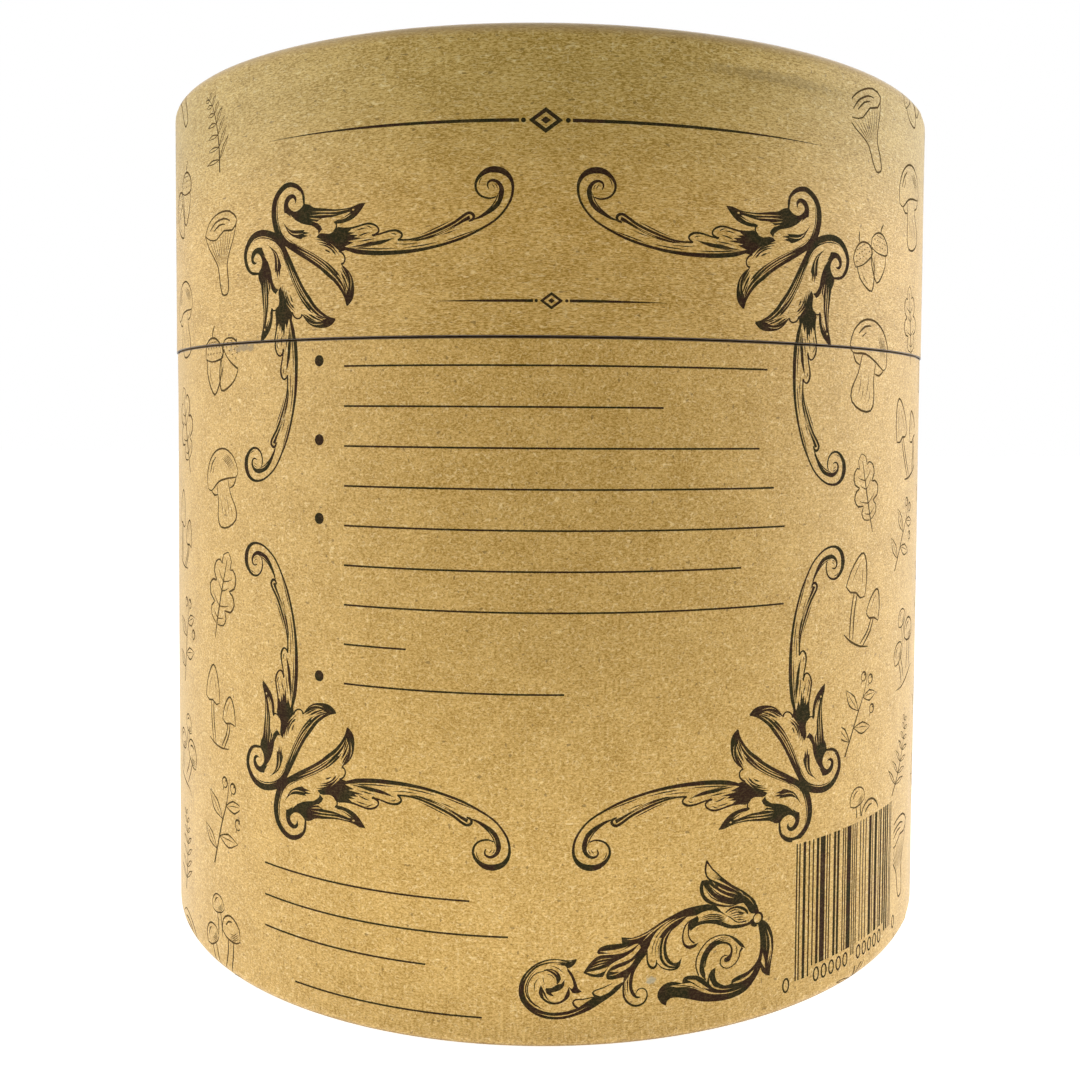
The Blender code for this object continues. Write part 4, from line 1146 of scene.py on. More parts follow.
def outward(section, u, v, reach=0.05):
    """The outward direction at each point, from its neighbours on the sheet."""
    v_low, v_high = np.maximum(v - reach, section.low), np.minimum(v + reach, section.high)
    across = outer_face(section, u + reach, v) - outer_face(section, u - reach, v)
    upward = outer_face(section, u, v_high) - outer_face(section, u, v_low)
    facing = np.cross(across, upward)
    return facing / np.linalg.norm(facing, axis=1)[:, None]


print("the sheets can be rolled")

# %% Cutting a flat sheet along its print
def inside(outline, points):
    """Which points an outline goes round, by its winding number."""
    start, stop = outline, np.roll(outline, -1, axis=0)
    x, y = points[:, 0][:, None], points[:, 1][:, None]
    left_of = (stop[:, 0] - start[:, 0]) * (y - start[:, 1]) - (x - start[:, 0]) * (stop[:, 1] - start[:, 1])
    rises = (start[:, 1] <= y) & (stop[:, 1] > y) & (left_of > 0)
    falls = (start[:, 1] > y) & (stop[:, 1] <= y) & (left_of < 0)
    return rises.sum(axis=1) != falls.sum(axis=1)


def finely(path, closed, longest=2.5):
    """The same path with no side longer than that, so that it can bend round the canister."""
    stops = np.roll(path, -1, axis=0) if closed else path[1:]
    pieces = []
    for start, stop in zip(path, stops):
        count = max(1, math.ceil(abs(stop[0] - start[0]) / longest))
        pieces.append(start + (stop - start) * (np.arange(count) / count)[:, None])
    return np.vstack(pieces if closed else [*pieces, path[-1:]])


def cut_sheet(section, layers, lines, column=3.0, row=7.0):
    """Triangles of the flat sheet, and the finish of each: 0 for paper, or a layer's number.

    A layer is (its finish, its marks, the u between which it shows). The lines are heights
    that have to be edges, because the sheet bends there.
    """
    points, edges = [], []

    def add(path, closed):
        path = finely(path, closed)
        first = len(points)
        points.extend(path.tolist())
        count = len(path)
        edges.extend((first + i, first + (i + 1) % count) for i in range(count if closed else count - 1))

    columns = np.linspace(SHEET_START, OVERLAP_AT, int(AROUND / column) + 1)
    for height in lines:
        add(np.column_stack([columns, np.full(len(columns), height)]), False)
    rows = np.linspace(lines[0], lines[-1], int((lines[-1] - lines[0]) / row) + 1)
    for u in (SHEET_START, OVERLAP_AT):
        add(np.column_stack([np.full(len(rows), u), rows]), False)
    near_lines = np.array(lines)
    for i, height in enumerate(rows[1:-1]):
        if np.abs(near_lines - height).min() > 1.0:
            shift = column / 2 if i % 2 else 0.0
            points.extend((u + shift, height) for u in columns[1:-1].tolist() if u + shift < OVERLAP_AT - 0.5)
    placed = []
    for finish, marks, (u_low, u_high) in layers:
        shown = (max(u_low, SHEET_START), min(u_high, OVERLAP_AT))
        for edge in (u_low, u_high):
            if SHEET_START < edge < OVERLAP_AT:
                add(np.column_stack([np.full(len(rows), edge), rows]), False)
        for outline, is_ink in marks:
            for turn in (-AROUND, 0.0, AROUND):
                moved = outline + np.array([turn, 0.0])
                low, high = moved.min(axis=0), moved.max(axis=0)
                if high[0] <= shown[0] or low[0] >= shown[1] or high[1] <= lines[0] or low[1] >= lines[-1]:
                    continue
                add(moved, True)
                placed.append((finish if is_ink else 0, moved, low, high, shown))
    corners, _, faces, _, _, _ = delaunay_2d_cdt([Vector(p) for p in points], edges, [], 0, 1e-5, False)
    corners = np.array([tuple(c) for c in corners])
    faces = np.array(faces)
    middles = corners[faces].mean(axis=1)
    kept = (middles[:, 0] > SHEET_START) & (middles[:, 0] < OVERLAP_AT)
    kept &= (middles[:, 1] > lines[0]) & (middles[:, 1] < lines[-1])
    faces, middles = faces[kept], middles[kept]
    finish_of = np.zeros(len(faces), int)
    for finish, outline, low, high, shown in placed:
        near = (middles[:, 0] > max(low[0], shown[0])) & (middles[:, 0] < min(high[0], shown[1]))
        near &= (middles[:, 1] > low[1]) & (middles[:, 1] < high[1])
        chosen = np.flatnonzero(near)
        if len(chosen):
            finish_of[chosen[inside(outline, middles[chosen])]] = finish
    return corners, faces, finish_of


def rim_loop(faces):
    """The sheet's free edge as one closed run of corners, in the faces' own direction."""
    follows = {}
    for a, b, c in faces.tolist():
        for start, stop in ((a, b), (b, c), (c, a)):
            follows[(start, stop)] = True
    after = {start: stop for start, stop in follows if (stop, start) not in follows}
    loop = [next(iter(after))]
    while after[loop[-1]] != loop[0]:
        loop.append(after[loop[-1]])
    if len(loop) != len(after):
        raise ValueError("the sheet has more than one free edge")
    return loop


print("the knife is ready")

# %% [markdown]
# A sheet has a back and cut edges too. The back is a plain triangulation of the same free
# edge, one paper thickness below the front, and a strip of narrow faces joins the two. The
# smooth shading directions come from the rolled surface itself, so the thin triangles of the
# print never show as dimples.

#
# The export bakes each piece's finish into one picture. In a plain unrolled map the thin ink
# lines would blur into the paper, so the map named OFBake lays the sheet out twice: once for
# the paper's faces and once for the ink's, cut into rows that fill a square.

# %% A map that keeps ink and paper apart
BACK_SQUEEZED = 0.1
ROW_GAP = 3.0


def spread_out(mesh, flat, kind, section):
    """Adds the OFBake map. The kind of each face is 0 for paper, 1 for ink and 2 for the back."""
    sizes = np.empty(len(mesh.polygons), int)
    mesh.polygons.foreach_get("loop_total", sizes)
    starts = np.concatenate([[0], np.cumsum(sizes)[:-1]])
    kind_of = np.repeat(kind, sizes)
    row_height = section.high - section.low + ROW_GAP
    along = (flat[:, 0] - SHEET_START) * np.where(kind_of == 2, BACK_SQUEEZED, 1.0) + kind_of * (AROUND + ROW_GAP)
    face_start = np.minimum.reduceat(along, starts)
    widest = (np.maximum.reduceat(along, starts) - face_start).max() + ROW_GAP
    whole = (2 + BACK_SQUEEZED) * AROUND + 3 * ROW_GAP
    rows = min(range(1, 12), key=lambda n: max(whole / n + widest, n * row_height))
    side = max(whole / rows + widest, rows * row_height)
    row_of = np.repeat(np.floor(face_start / (whole / rows)), sizes)
    place = np.column_stack([along - row_of * (whole / rows) + 1.0, flat[:, 1] - section.low + row_of * row_height + 1.0])
    mesh.uv_layers.new(name="OFBake").data.foreach_set("uv", (place / (side + 2.0)).astype(np.float32).ravel())
    print(f"OFBake: {rows} rows, {side:.0f} mm to the map's side, places from {place.min():.1f} to {place.max():.1f}")


# %% Rolling a sheet into its place
def rolled_sheet(name, node, section, layers, lines, finishes):
    corners, faces, finish_of = cut_sheet(section, layers, lines)
    loop = rim_loop(faces)
    used, numbered = np.unique(faces, return_inverse=True)
    front = numbered.reshape(faces.shape)
    new_number = {old: new for new, old in enumerate(used.tolist())}
    loop = [new_number[i] for i in loop]
    flat = corners[used]
    inner = [(u, v) for u in np.arange(SHEET_START + 5, OVERLAP_AT - 3, 5.0) for v in (*lines[1:-1], *np.arange(
        section.low + 14, section.high - 14, 14.0))]
    back_points = [Vector(flat[i]) for i in loop] + [Vector(p) for p in inner]
    count = len(loop)
    back_edges = [(i, (i + 1) % count) for i in range(count)]
    back_flat, _, back_faces, came_from, _, _ = delaunay_2d_cdt(back_points, back_edges, [], 1, 1e-6, True)
    back_flat = np.array([tuple(p) for p in back_flat])
    back_faces = np.array(back_faces)
    back_number = {old: new for new, olds in enumerate(came_from) for old in olds}
    back_loop = [back_number[i] for i in range(count)]
    if len(set(back_loop)) < count:
        raise ValueError("two corners of the free edge fell together on the back")
    first_back = len(flat)
    front_places = outer_face(section, flat[:, 0], flat[:, 1])
    front_facing = outward(section, flat[:, 0], flat[:, 1])
    back_places = outer_face(section, back_flat[:, 0], back_flat[:, 1])
    back_facing = outward(section, back_flat[:, 0], back_flat[:, 1])
    back_places = back_places - back_facing * PAPER
    places = np.vstack([front_places, back_places]) * MM
    back = back_faces[:, ::-1] + first_back
    strip = [(loop[i], first_back + back_loop[i], first_back + back_loop[(i + 1) % count], loop[(i + 1) % count])
             for i in range(count)]
    mesh = bpy.data.meshes.new(name)
    mesh.from_pydata(places.tolist(), [], [*front.tolist(), *back.tolist(), *strip])
    for finish in finishes:
        mesh.materials.append(finish)
    mesh.polygons.foreach_set("material_index", np.concatenate([finish_of, np.zeros(len(back) + len(strip), int)]))
    corner_of = np.empty(len(mesh.loops), int)
    mesh.loops.foreach_get("vertex_index", corner_of)
    sheet = np.vstack([flat, back_flat])
    layer = mesh.uv_layers.new(name="sheet")
    layer.data.foreach_set("uv", sheet[corner_of].ravel())
    ink_faces = finish_of > 0
    spread_out(mesh, sheet[corner_of], np.concatenate([ink_faces * 1, np.full(len(back) + len(strip), 2)]), section)
    facing = np.vstack([front_facing, -back_facing])[corner_of]
    strip_start = 3 * (len(front) + len(back))
    ends = places[np.array(strip)]
    flat_facing = np.cross(ends[:, 1] - ends[:, 0], ends[:, 2] - ends[:, 0])
    flat_facing /= np.linalg.norm(flat_facing, axis=1)[:, None] + 1e-20
    facing[strip_start:] = np.repeat(flat_facing, 4, axis=0)
    mesh.shade_smooth()
    mesh.normals_split_custom_set(facing.tolist())
    piece = bpy.data.objects.new(name, mesh)
    bpy.context.scene.collection.objects.link(piece)
    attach(piece, "root")
    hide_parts(node)
    print(f"{name}: {len(front)} front triangles, {int((finish_of > 0).sum())} of them ink, {len(mesh.polygons)} faces")
    return piece


EVERYWHERE = (-1000.0, 1000.0)
BACK_REACH = 57.6
layers = [
    (2, woodland.marks, (BACK_AXIS + BACK_REACH, BAND_EDGES[0])),
    (2, woodland_right.marks, (BAND_EDGES[1], OVERLAP_AT + 1.0)),
    (2, woodland_right.marks, (SHEET_START - 1.0, BACK_AXIS - BACK_REACH)),
    (1, back_panel.marks, EVERYWHERE),
    (1, front_panel.marks, EVERYWHERE),
]
body_lines = [*np.linspace(BODY_SECTION.low, BODY_ROLL_HEIGHT, 6), BODY_SECTION.high]
bend = LID_ROLL * math.pi / 2
lid_lines = [LID_SECTION.low, 146.0, 149.0, 151.5, 153.3, 154.5, 155.6, 156.7, 157.8, *np.linspace(rim_height, rim_height + bend, 9),
             *np.linspace(rim_height + bend + HEM_FLAT, rim_height + 2 * bend + HEM_FLAT, 9), LID_SECTION.high]
printed_body = rolled_sheet("printed_body_paper", "body_wrap", BODY_SECTION, layers, body_lines, (KRAFT, INK, BROWN_INK))
printed_lid = rolled_sheet("printed_lid_paper", "lid_wrap", LID_SECTION, layers, lid_lines, (LID_KRAFT, INK, BROWN_INK))
# %% [markdown]
# ## The boards under the paper
#
# Under the paper the canister is board: two tubes with rolled hems, a plain neck tube that
# the lid slides over, and a disc in each end. All five are turned shapes, so one tree of
# Geometry Nodes makes them: it sweeps a drawn section round a circle. Spinning the section in
# mesh code would do as well, but the tree keeps its two sizes as inputs that can be changed
# in the modifier's panel. A second use of it makes the contents.

# %% Geometry Nodes that turn a section
def tree_node(tree, kind, settings=None, sockets=None):
    """Adds a node: settings first, then plain values or other sockets on its own."""
    node = tree.nodes.new(kind)
    for name, value in (settings or {}).items():
        setattr(node, name, value)
    for name, value in (sockets or {}).items():
        if isinstance(value, bpy.types.NodeSocket):
            tree.links.new(value, node.inputs[name])
        else:
            node.inputs[name].default_value = value
    return node


def turning_tree():
    """A section, drawn as edges at x = distance less guide radius and y = height, turned round Z."""
    tree = bpy.data.node_groups.new("turning", "GeometryNodeTree")
    tree.interface.new_socket("Section", in_out="INPUT", socket_type="NodeSocketGeometry")
    for name, kind in (("Guide radius", "Float"), ("Segments", "Int"), ("Lump depth", "Float"),
                       ("Lump size", "Float"), ("Seed", "Float"), ("Finish", "Material")):
        tree.interface.new_socket(name, in_out="INPUT", socket_type=f"NodeSocket{kind}")
    tree.interface.new_socket("Piece", in_out="OUTPUT", socket_type="NodeSocketGeometry")
    given = tree.nodes.new("NodeGroupInput").outputs
    section = tree_node(tree, "GeometryNodeMeshToCurve", None, {"Mesh": given["Section"]})
    circle = tree_node(tree, "GeometryNodeCurvePrimitiveCircle", {"mode": "RADIUS"}, {
        "Resolution": given["Segments"], "Radius": given["Guide radius"]})
    swept = tree_node(tree, "GeometryNodeCurveToMesh", None, {
        "Curve": circle.outputs["Curve"], "Profile Curve": section.outputs["Curve"]})
    closed = tree_node(tree, "GeometryNodeMergeByDistance", None, {
        "Geometry": swept.outputs["Mesh"], "Distance": 0.002 * MM})
    size = tree_node(tree, "ShaderNodeMath", {"operation": "DIVIDE"}, {0: 1.0, 1: given["Lump size"]})
    lumps = tree_node(tree, "ShaderNodeTexNoise", {"noise_dimensions": "4D"}, {
        "Scale": size.outputs[0], "W": given["Seed"], "Detail": 4.0, "Roughness": 0.62})
    inward = tree_node(tree, "ShaderNodeMath", {"operation": "MULTIPLY"}, {
        0: lumps.outputs[0], 1: given["Lump depth"]})
    place = tree_node(tree, "GeometryNodeInputPosition")
    toward_axis = tree_node(tree, "ShaderNodeVectorMath", {"operation": "MULTIPLY"}, {
        0: place.outputs[0], 1: (-1.0, -1.0, 0.0)})
    level = tree_node(tree, "ShaderNodeVectorMath", {"operation": "NORMALIZE"}, {0: toward_axis.outputs[0]})
    step = tree_node(tree, "ShaderNodeVectorMath", {"operation": "SCALE"}, {
        0: level.outputs[0], "Scale": inward.outputs[0]})
    lumpy = tree_node(tree, "GeometryNodeSetPosition", None, {
        "Geometry": closed.outputs["Geometry"], "Offset": step.outputs[0]})
    plain = tree_node(tree, "GeometryNodeRealizeInstances", None, {"Geometry": lumpy.outputs["Geometry"]})
    dressed = tree_node(tree, "GeometryNodeSetMaterial", None, {
        "Geometry": plain.outputs["Geometry"], "Material": given["Finish"]})
    leaving = tree.nodes.new("NodeGroupOutput")
    tree.links.new(dressed.outputs["Geometry"], leaving.inputs["Piece"])
    return tree


TURNING = turning_tree()
print("turning tree with inputs:", [item.name for item in TURNING.interface.items_tree if item.in_out == "INPUT"])

# %% Geometry Nodes that set ribs round a piece
def rib_tree():
    """One rib on every point of a circle, facing outwards."""
    tree = bpy.data.node_groups.new("ribs", "GeometryNodeTree")
    tree.interface.new_socket("Cap", in_out="INPUT", socket_type="NodeSocketGeometry")
    for name, kind in (("Count", "Int"), ("Ring radius", "Float"), ("Ring height", "Float"), ("Rib size", "Vector"),
                       ("Finish", "Material")):
        tree.interface.new_socket(name, in_out="INPUT", socket_type=f"NodeSocket{kind}")
    tree.interface.new_socket("Ribbed cap", in_out="OUTPUT", socket_type="NodeSocketGeometry")
    given = tree.nodes.new("NodeGroupInput").outputs
    ring = tree_node(tree, "GeometryNodeCurvePrimitiveCircle", {"mode": "RADIUS"}, {
        "Resolution": given["Count"], "Radius": given["Ring radius"]})
    height = tree_node(tree, "ShaderNodeCombineXYZ", None, {"Z": given["Ring height"]})
    raised = tree_node(tree, "GeometryNodeTransform", None, {
        "Geometry": ring.outputs["Curve"], "Translation": height.outputs[0]})
    place = tree_node(tree, "GeometryNodeInputPosition")
    level = tree_node(tree, "ShaderNodeVectorMath", {"operation": "MULTIPLY"}, {0: place.outputs[0], 1: (1.0, 1.0, 0.0)})
    facing = tree_node(tree, "FunctionNodeAlignRotationToVector", {"axis": "X"}, {"Vector": level.outputs[0]})
    rib = tree_node(tree, "GeometryNodeMeshCube", None, {"Size": given["Rib size"]})
    set_out_ribs = tree_node(tree, "GeometryNodeInstanceOnPoints", None, {
        "Points": raised.outputs["Geometry"], "Instance": rib.outputs["Mesh"], "Rotation": facing.outputs[0]})
    joined = tree_node(tree, "GeometryNodeJoinGeometry")
    tree.links.new(given["Cap"], joined.inputs[0])
    tree.links.new(set_out_ribs.outputs["Instances"], joined.inputs[0])
    plain = tree_node(tree, "GeometryNodeRealizeInstances", None, {"Geometry": joined.outputs[0]})
    dressed = tree_node(tree, "GeometryNodeSetMaterial", None, {
        "Geometry": plain.outputs["Geometry"], "Material": given["Finish"]})
    leaving = tree.nodes.new("NodeGroupOutput")
    tree.links.new(dressed.outputs["Geometry"], leaving.inputs["Ribbed cap"])
    return tree


RIBS = rib_tree()
print("rib tree with inputs:", [item.name for item in RIBS.interface.items_tree if item.in_out == "INPUT"])

# %% Turning one piece
SHARP_ANGLE = math.radians(35)


def with_modifier(mesh, tree, values):
    """A mesh passed through a tree, as a plain mesh. Values go to inputs by their identifiers."""
    holder = bpy.data.objects.new("holder", mesh)
    bpy.context.scene.collection.objects.link(holder)
    modifier = holder.modifiers.new(tree.name, "NODES")
    modifier.node_group = tree
    for item in tree.interface.items_tree:
        if item.name in values:
            modifier[item.identifier] = values[item.name]
    result = bpy.data.meshes.new_from_object(holder.evaluated_get(bpy.context.evaluated_depsgraph_get()))
    bpy.data.objects.remove(holder, do_unlink=True)
    return result


def turned_piece(name, node, section, finish, segments=144, lumps=(0.0, 10.0, 0.0), ribs=None,
                 laid=None):
    """A piece turned round Z from points (distance, height) in mm. It stands for the CAD node.

    A section that doesn't start on the axis is a closed ring. Lumps are a depth, a size and a
    seed, ribs are the inputs of the ribs' tree, and laid is a matrix that lays the turned piece
    in its place.
    """
    guide = max(distance for distance, _ in section)
    count = len(section)
    on_axis = section[0][0] == 0
    edges = [(i, (i + 1) % count) for i in range(count - 1 if on_axis else count)]
    drawn = bpy.data.meshes.new(name + "_section")
    drawn.from_pydata([((distance - guide) * MM, -height * MM, 0.0) for distance, height in section], edges, [])
    values = {"Guide radius": guide * MM, "Segments": segments, "Lump depth": lumps[0] * MM,
              "Lump size": lumps[1] * MM, "Seed": lumps[2], "Finish": finish}
    mesh = with_modifier(drawn, TURNING, values)
    if ribs:
        mesh = with_modifier(mesh, RIBS, ribs)
    shape = bmesh.new()
    shape.from_mesh(mesh)
    bmesh.ops.recalc_face_normals(shape, faces=shape.faces)
    if laid:
        shape.transform(laid)
    shape.to_mesh(mesh)
    shape.free()
    mesh.name = name
    mesh.shade_smooth()
    mesh.set_sharp_from_angle(angle=SHARP_ANGLE)
    piece = bpy.data.objects.new(name, mesh)
    bpy.context.scene.collection.objects.link(piece)
    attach(piece, "root")
    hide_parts(node)
    low, high = (Vector(corner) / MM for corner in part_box(node))
    own = [Vector(v.co) / MM for v in mesh.vertices]
    reach = [[round(pick(p[i] for p in own), 2) for i in range(3)] for pick in (min, max)]
    print(f"{name}: {len(mesh.polygons)} faces, {reach} in {[round(x, 2) for x in low]} {[round(x, 2) for x in high]}")
    return piece


# %% [markdown]
# Board is many thin plies glued flat. Its faces are brown like the paper but smoother and a
# little greyer, and its cut ends show the plies as fine lines. On a tube a ply is a step in
# the distance from the axis, on a disc a step in height, so each finish counts the plies in
# its own direction.

# %% Board
PLY = 0.4


def board_material(name, stacked):
    """Glued board. The plies lie in rings round the axis, or are stacked upwards."""
    material, wire, shader = new_material(name)
    place = wire.node("ShaderNodeTexCoord", output=3).scaled((1000.0, 1000.0, 1000.0))
    parts = [wire.node("ShaderNodeSeparateXYZ", None, {0: place}, output=i) for i in range(3)]
    depth = parts[2] if stacked else wire.sum("POWER", parts[0] * parts[0] + parts[1] * parts[1], 0.5)
    plies = wire.sum("SINE", depth * (math.tau / PLY), 0.0)
    clouds = place.noise(0.10, 3.0)
    flocks = place.scaled((1.0, 1.0, 1.6)).noise(1.0, 3.0, 0.7)
    specks = place.moved((7.0, 3.0, 1.0)).noise(1.5, 0.0).between(0.76, 0.82)
    tone = clouds * 0.6 + flocks * 0.6 + plies * 0.03 - 0.6
    colour = (tone * 1.6 + 0.5).between(0.0, 1.0).blend((0.235, 0.150, 0.060), (0.400, 0.275, 0.125))
    colour = (hairs(place, 1.1, 0.05, 1.1, 0.52, 0.68) * 0.35).blend(colour, (0.56, 0.43, 0.25))
    colour = (specks * 0.5).blend(colour, (0.10, 0.06, 0.03))
    bump = wire.node("ShaderNodeBump", None, {
        "Height": flocks * 0.6 + plies * 0.25, "Strength": 0.3, "Distance": 0.06 * MM})
    roughness = 0.74 + flocks * 0.2
    wire.tree.links.new(colour.socket, shader.inputs["Base Color"])
    wire.tree.links.new(roughness.socket, shader.inputs["Roughness"])
    wire.tree.links.new(bump.socket, shader.inputs["Normal"])
    shader.inputs["Specular IOR Level"].default_value = 0.35
    return material


TUBE_BOARD = board_material("tube_board", False)
DISC_BOARD = board_material("disc_board", True)
print("materials:", TUBE_BOARD.name, DISC_BOARD.name)

# %% The tubes and discs
WALL = 2.0
NECK_WALL = 1.5
HEM_WIDTH = 4.8
HEM_DEPTH = 3.0
CUT_EDGE = 0.25
BODY_HEM_ROLL, LID_HEM_ROLL = 1.6, 1.7


def ends_of(node):
    """A node's outer radius and its lowest and highest heights, in mm."""
    low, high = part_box(node)
    return high[0] / MM, low[2] / MM, high[2] / MM


def hemmed_wall(radius, height, roll):
    """A wall on a rolled hem, hem down: up its outside, over the cut edge and down its inside."""
    hem_inside, wall_inside = radius - HEM_WIDTH, radius - WALL
    soft = CUT_EDGE
    return [
        *arc((hem_inside + roll, roll), roll, 180, 270, 10), *arc((radius - roll, roll), roll, 270, 360, 10),
        *arc((radius - soft, height - soft), soft, 0, 90, 3), *arc((wall_inside + soft, height - soft), soft, 90, 180, 3),
        (wall_inside, HEM_DEPTH), *arc((hem_inside + soft, HEM_DEPTH - soft), soft, 90, 180, 3),
    ]


def disc_section(radius, low, high, dish=0.0):
    """A pressed disc with soft cut edges, a little lower in its middle."""
    soft = 0.4
    rings = [radius * t for t in (0.0, 0.2, 0.4, 0.6, 0.8, 0.93)]
    sag = [dish * (1 - (ring / radius) ** 2) for ring in rings]
    top = [(ring, high - drop) for ring, drop in zip(rings, sag)]
    foot = [(ring, low) for ring in reversed(rings)]
    return [*top, *arc((radius - soft, high - soft), soft, 90, 0, 4), *arc((radius - soft, low + soft), soft, 0, -90, 4), *foot]


radius, low, high = ends_of("body_tube")
turned_piece("body_board_tube", "body_tube", [(r, z + low) for r, z in hemmed_wall(radius, high - low, BODY_HEM_ROLL)],
             TUBE_BOARD)
radius, low, high = ends_of("lid_tube")
turned_piece("lid_board_tube", "lid_tube", [(r, high - z) for r, z in hemmed_wall(radius, high - low, LID_HEM_ROLL)],
             TUBE_BOARD)
radius, low, high = ends_of("neck_tube")
soft = CUT_EDGE
neck_inside = radius - NECK_WALL
neck_section = [
    *arc((radius - soft, low + soft), soft, -90, 0, 3), *arc((radius - soft, high - soft), soft, 0, 90, 3),
    *arc((neck_inside + soft, high - soft), soft, 90, 180, 3), *arc((neck_inside + soft, low + soft), soft, 180, 270, 3),
]
turned_piece("neck_board_tube", "neck_tube", neck_section, TUBE_BOARD)
turned_piece("base_board_disc", "base_disc", disc_section(*ends_of("base_disc")), DISC_BOARD)
turned_piece("lid_board_disc", "lid_disc", disc_section(*ends_of("lid_disc"), dish=0.35), DISC_BOARD)
# %% [markdown]
# ## What is inside
#
# The block is sawdust grown through with white threads, pressed to the canister's shape. It
# is the same turned shape with many more points, and the tree's noise pushes its wall in by up
# to two millimetres, so it has hollows but never reaches past its solid.

# %% The growing block
def mycelium_material(name):
    """White felt with brown crumbs showing through where it is thin."""
    material, wire, shader = new_material(name)
    place = wire.node("ShaderNodeTexCoord", output=3).scaled((1000.0, 1000.0, 1000.0))
    cover = place.noise(0.045, 4.0, 0.6) * 0.6 + place.noise(0.5, 3.0, 0.6) * 0.4
    felt = place.noise(1.6, 4.0, 0.7)
    threads = hairs(place, 0.32, 0.06, 0.3, 0.40, 0.60)
    crumbs = cover.between(0.50, 0.38) * place.moved((9.0, 2.0, 4.0)).noise(0.42, 2.0).between(0.42, 0.58)
    colour = felt.between(0.3, 0.7).blend((0.66, 0.60, 0.49), (0.86, 0.83, 0.76))
    colour = (crumbs * 0.85).blend(colour, (0.33, 0.20, 0.09))
    colour = (threads * 0.6).blend(colour, (0.93, 0.91, 0.86))
    bump = wire.node("ShaderNodeBump", None, {
        "Height": felt * 0.7 + threads * 0.6 - crumbs * 0.4, "Strength": 0.6, "Distance": 0.5 * MM})
    roughness = 0.86 + crumbs * 0.1
    wire.tree.links.new(colour.socket, shader.inputs["Base Color"])
    wire.tree.links.new(roughness.socket, shader.inputs["Roughness"])
    wire.tree.links.new(bump.socket, shader.inputs["Normal"])
    shader.inputs["Sheen Weight"].default_value = 0.5
    shader.inputs["Sheen Roughness"].default_value = 0.6
    return material


BLOCK_EDGE = 7.0
radius, low, high = ends_of("mycelium_block")
flat = radius - BLOCK_EDGE
rings = [flat * i / 26 for i in range(26)]
wall_heights = np.linspace(high - BLOCK_EDGE, low + BLOCK_EDGE, 42)[1:-1]
block_section = [
    *((ring, high) for ring in rings), *arc((flat, high - BLOCK_EDGE), BLOCK_EDGE, 90, 0, 8),
    *((radius, height) for height in wall_heights.tolist()),
    *arc((flat, low + BLOCK_EDGE), BLOCK_EDGE, 0, -90, 8), *((ring, low) for ring in reversed(rings)),
]
turned_piece("growing_block", "mycelium_block", block_section, mycelium_material("mycelium_felt"),
             segments=180, lumps=(2.2, 16.0, 3.0))

# %% [markdown]
# The mist bottle lies on the block. Its body is milky plastic with a faint haze, and its cap
# is a harder white plastic with a ribbed collar for the fingers. The ribs repeat round the
# collar, so Geometry Nodes set them out: one rib, put on every point of a circle, turned to
# face outwards and made real at the end.

# %% Plastic finishes
def plastic_material(name, low_colour, high_colour, roughness, coat):
    """Moulded plastic: almost one colour, with haze in its gloss and a faint grain."""
    material, wire, shader = new_material(name)
    place = wire.node("ShaderNodeTexCoord", output=3).scaled((1000.0, 1000.0, 1000.0))
    haze = place.noise(0.06, 3.0)
    grain = place.noise(3.0, 2.0)
    colour = haze.between(0.3, 0.7).blend(low_colour, high_colour)
    gloss = roughness + (haze - 0.5) * 0.16 + (grain - 0.5) * 0.08
    bump = wire.node("ShaderNodeBump", None, {"Height": grain, "Strength": 0.12, "Distance": 0.04 * MM})
    wire.tree.links.new(colour.socket, shader.inputs["Base Color"])
    wire.tree.links.new(gloss.socket, shader.inputs["Roughness"])
    wire.tree.links.new(bump.socket, shader.inputs["Normal"])
    shader.inputs["Coat Weight"].default_value = coat
    shader.inputs["Subsurface Weight"].default_value = 0.1
    shader.inputs["Subsurface Radius"].default_value = (0.004, 0.004, 0.004)
    return material


MILKY = plastic_material("milky_plastic", (0.70, 0.76, 0.77), (0.80, 0.84, 0.84), 0.28, 0.2)
WHITE_PLASTIC = plastic_material("white_plastic", (0.76, 0.76, 0.74), (0.84, 0.84, 0.82), 0.38, 0.1)
print("materials:", MILKY.name, WHITE_PLASTIC.name)

# %% The bottle
SHOULDER = 7.0
HEEL = 3.0
BOTTLE_NECK = 8.0
BOTTLE_NECK_LENGTH = 8.0
THREAD_RISE = 0.25


def lying_along_x(node):
    """The matrix that lays a piece turned round Z along X, its foot at the node's low X."""
    low, high = (Vector(corner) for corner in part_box(node))
    axis_height = (low.z + high.z) / 2
    return Matrix.Translation((low.x, 0.0, axis_height)) @ Matrix.Rotation(math.pi / 2, 4, "Y")


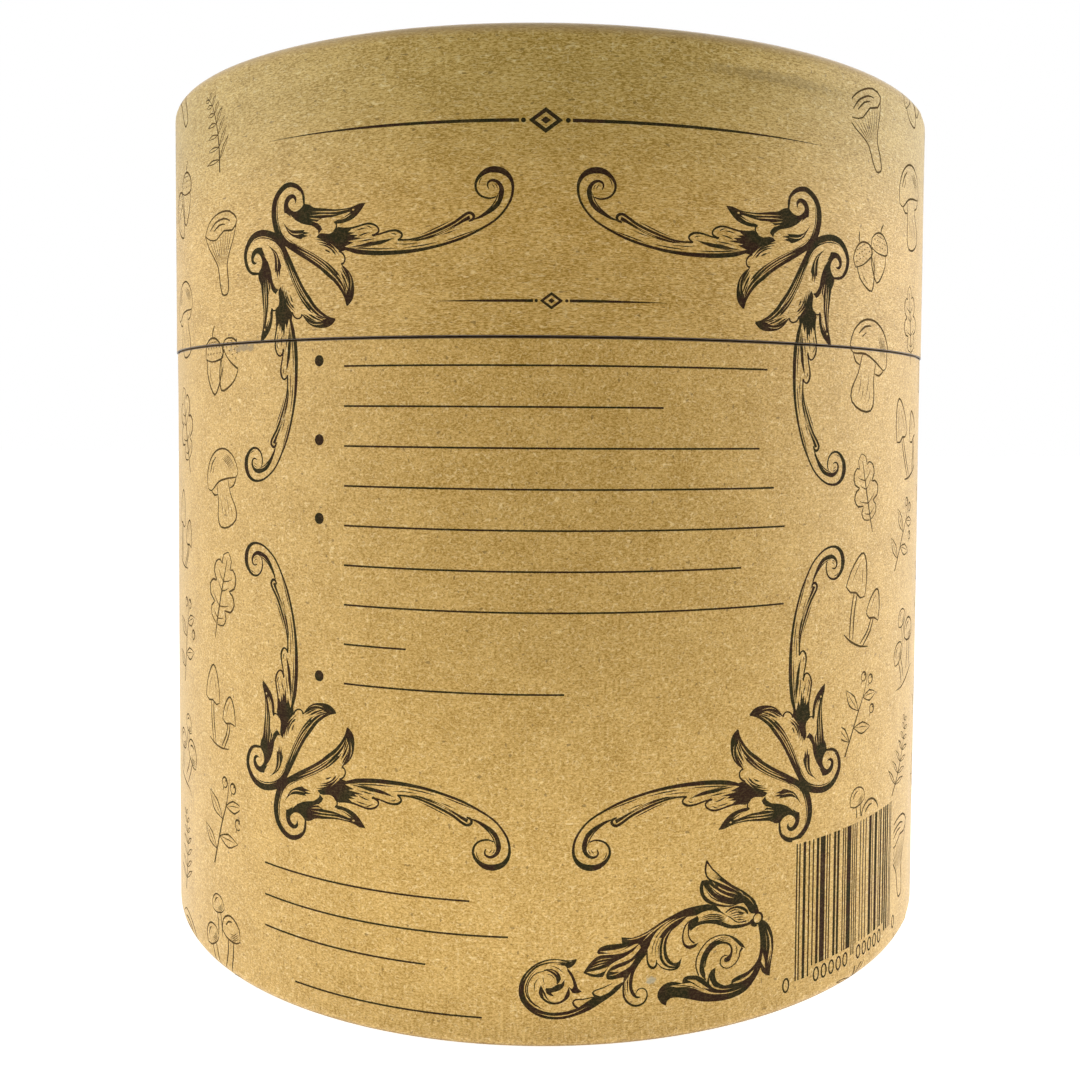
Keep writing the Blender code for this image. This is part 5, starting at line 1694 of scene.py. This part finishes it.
low, high = (Vector(corner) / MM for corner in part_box("spray_bottle"))
bottle_radius, bottle_length = high.y, high.x - low.x
neck_foot = bottle_length - BOTTLE_NECK_LENGTH
shoulder_turn = math.degrees(math.acos((BOTTLE_NECK - bottle_radius + SHOULDER) / SHOULDER))
shoulder = arc((bottle_radius - SHOULDER, neck_foot - SHOULDER * math.sin(math.radians(shoulder_turn))), SHOULDER,
               shoulder_turn, 0, 16)
heel = arc((bottle_radius - HEEL, HEEL), HEEL, 0, -90, 8)
walls = [(bottle_radius - 0.15 * math.sin(math.pi * t) ** 2, shoulder[-1][1] + (HEEL - shoulder[-1][1]) * t)
         for t in np.linspace(0.08, 0.92, 12).tolist()]
threads = [(BOTTLE_NECK - THREAD_RISE * (i % 2), bottle_length - 0.4 - 1.2 * i) for i in range(6)]
bottle_section = [(0.0, bottle_length), (BOTTLE_NECK - THREAD_RISE, bottle_length), *threads, (BOTTLE_NECK, neck_foot),
                  *shoulder, *walls, *heel, (bottle_radius - HEEL - 3.0, 0.6), (0.0, 0.9)]
turned_piece("mist_bottle", "spray_bottle", bottle_section, MILKY, segments=64,
             laid=lying_along_x("spray_bottle"))

# %% The cap
CAP_EDGE = 1.5
SOCKET_RADIUS = 8.3
COLLAR_LENGTH = 11.0
RIB_STANDS = 0.35
RIB_COUNT = 40

low, high = (Vector(corner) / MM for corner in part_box("spray_cap"))
cap_radius, cap_length = high.y, high.x - low.x
collar = cap_radius - RIB_STANDS
cap_section = [
    (0.0, cap_length), (cap_radius - CAP_EDGE - 2.0, cap_length), *arc((cap_radius - CAP_EDGE, cap_length - CAP_EDGE), CAP_EDGE, 90, 0, 8),
    (cap_radius, COLLAR_LENGTH + 1.6), *arc((cap_radius - 0.3, COLLAR_LENGTH + 1.2), 0.3, 0, -90, 3),
    (collar - 0.2, COLLAR_LENGTH + 0.7), (collar, COLLAR_LENGTH + 0.4), (collar, 0.4), (collar - 0.4, 0.0),
    (SOCKET_RADIUS + 0.2, 0.0), (SOCKET_RADIUS, 0.2), (SOCKET_RADIUS, BOTTLE_NECK_LENGTH), (0.0, BOTTLE_NECK_LENGTH),
]
rib_sizes = {
    "Count": RIB_COUNT, "Ring radius": (collar + RIB_STANDS / 2 - 0.1) * MM, "Ring height": (COLLAR_LENGTH / 2) * MM,
    "Rib size": ((RIB_STANDS + 0.2) * MM, 0.7 * MM, (COLLAR_LENGTH - 1.2) * MM), "Finish": WHITE_PLASTIC,
}
turned_piece("ribbed_cap", "spray_cap", cap_section, WHITE_PLASTIC, segments=80, ribs=rib_sizes,
             laid=lying_along_x("spray_cap"))
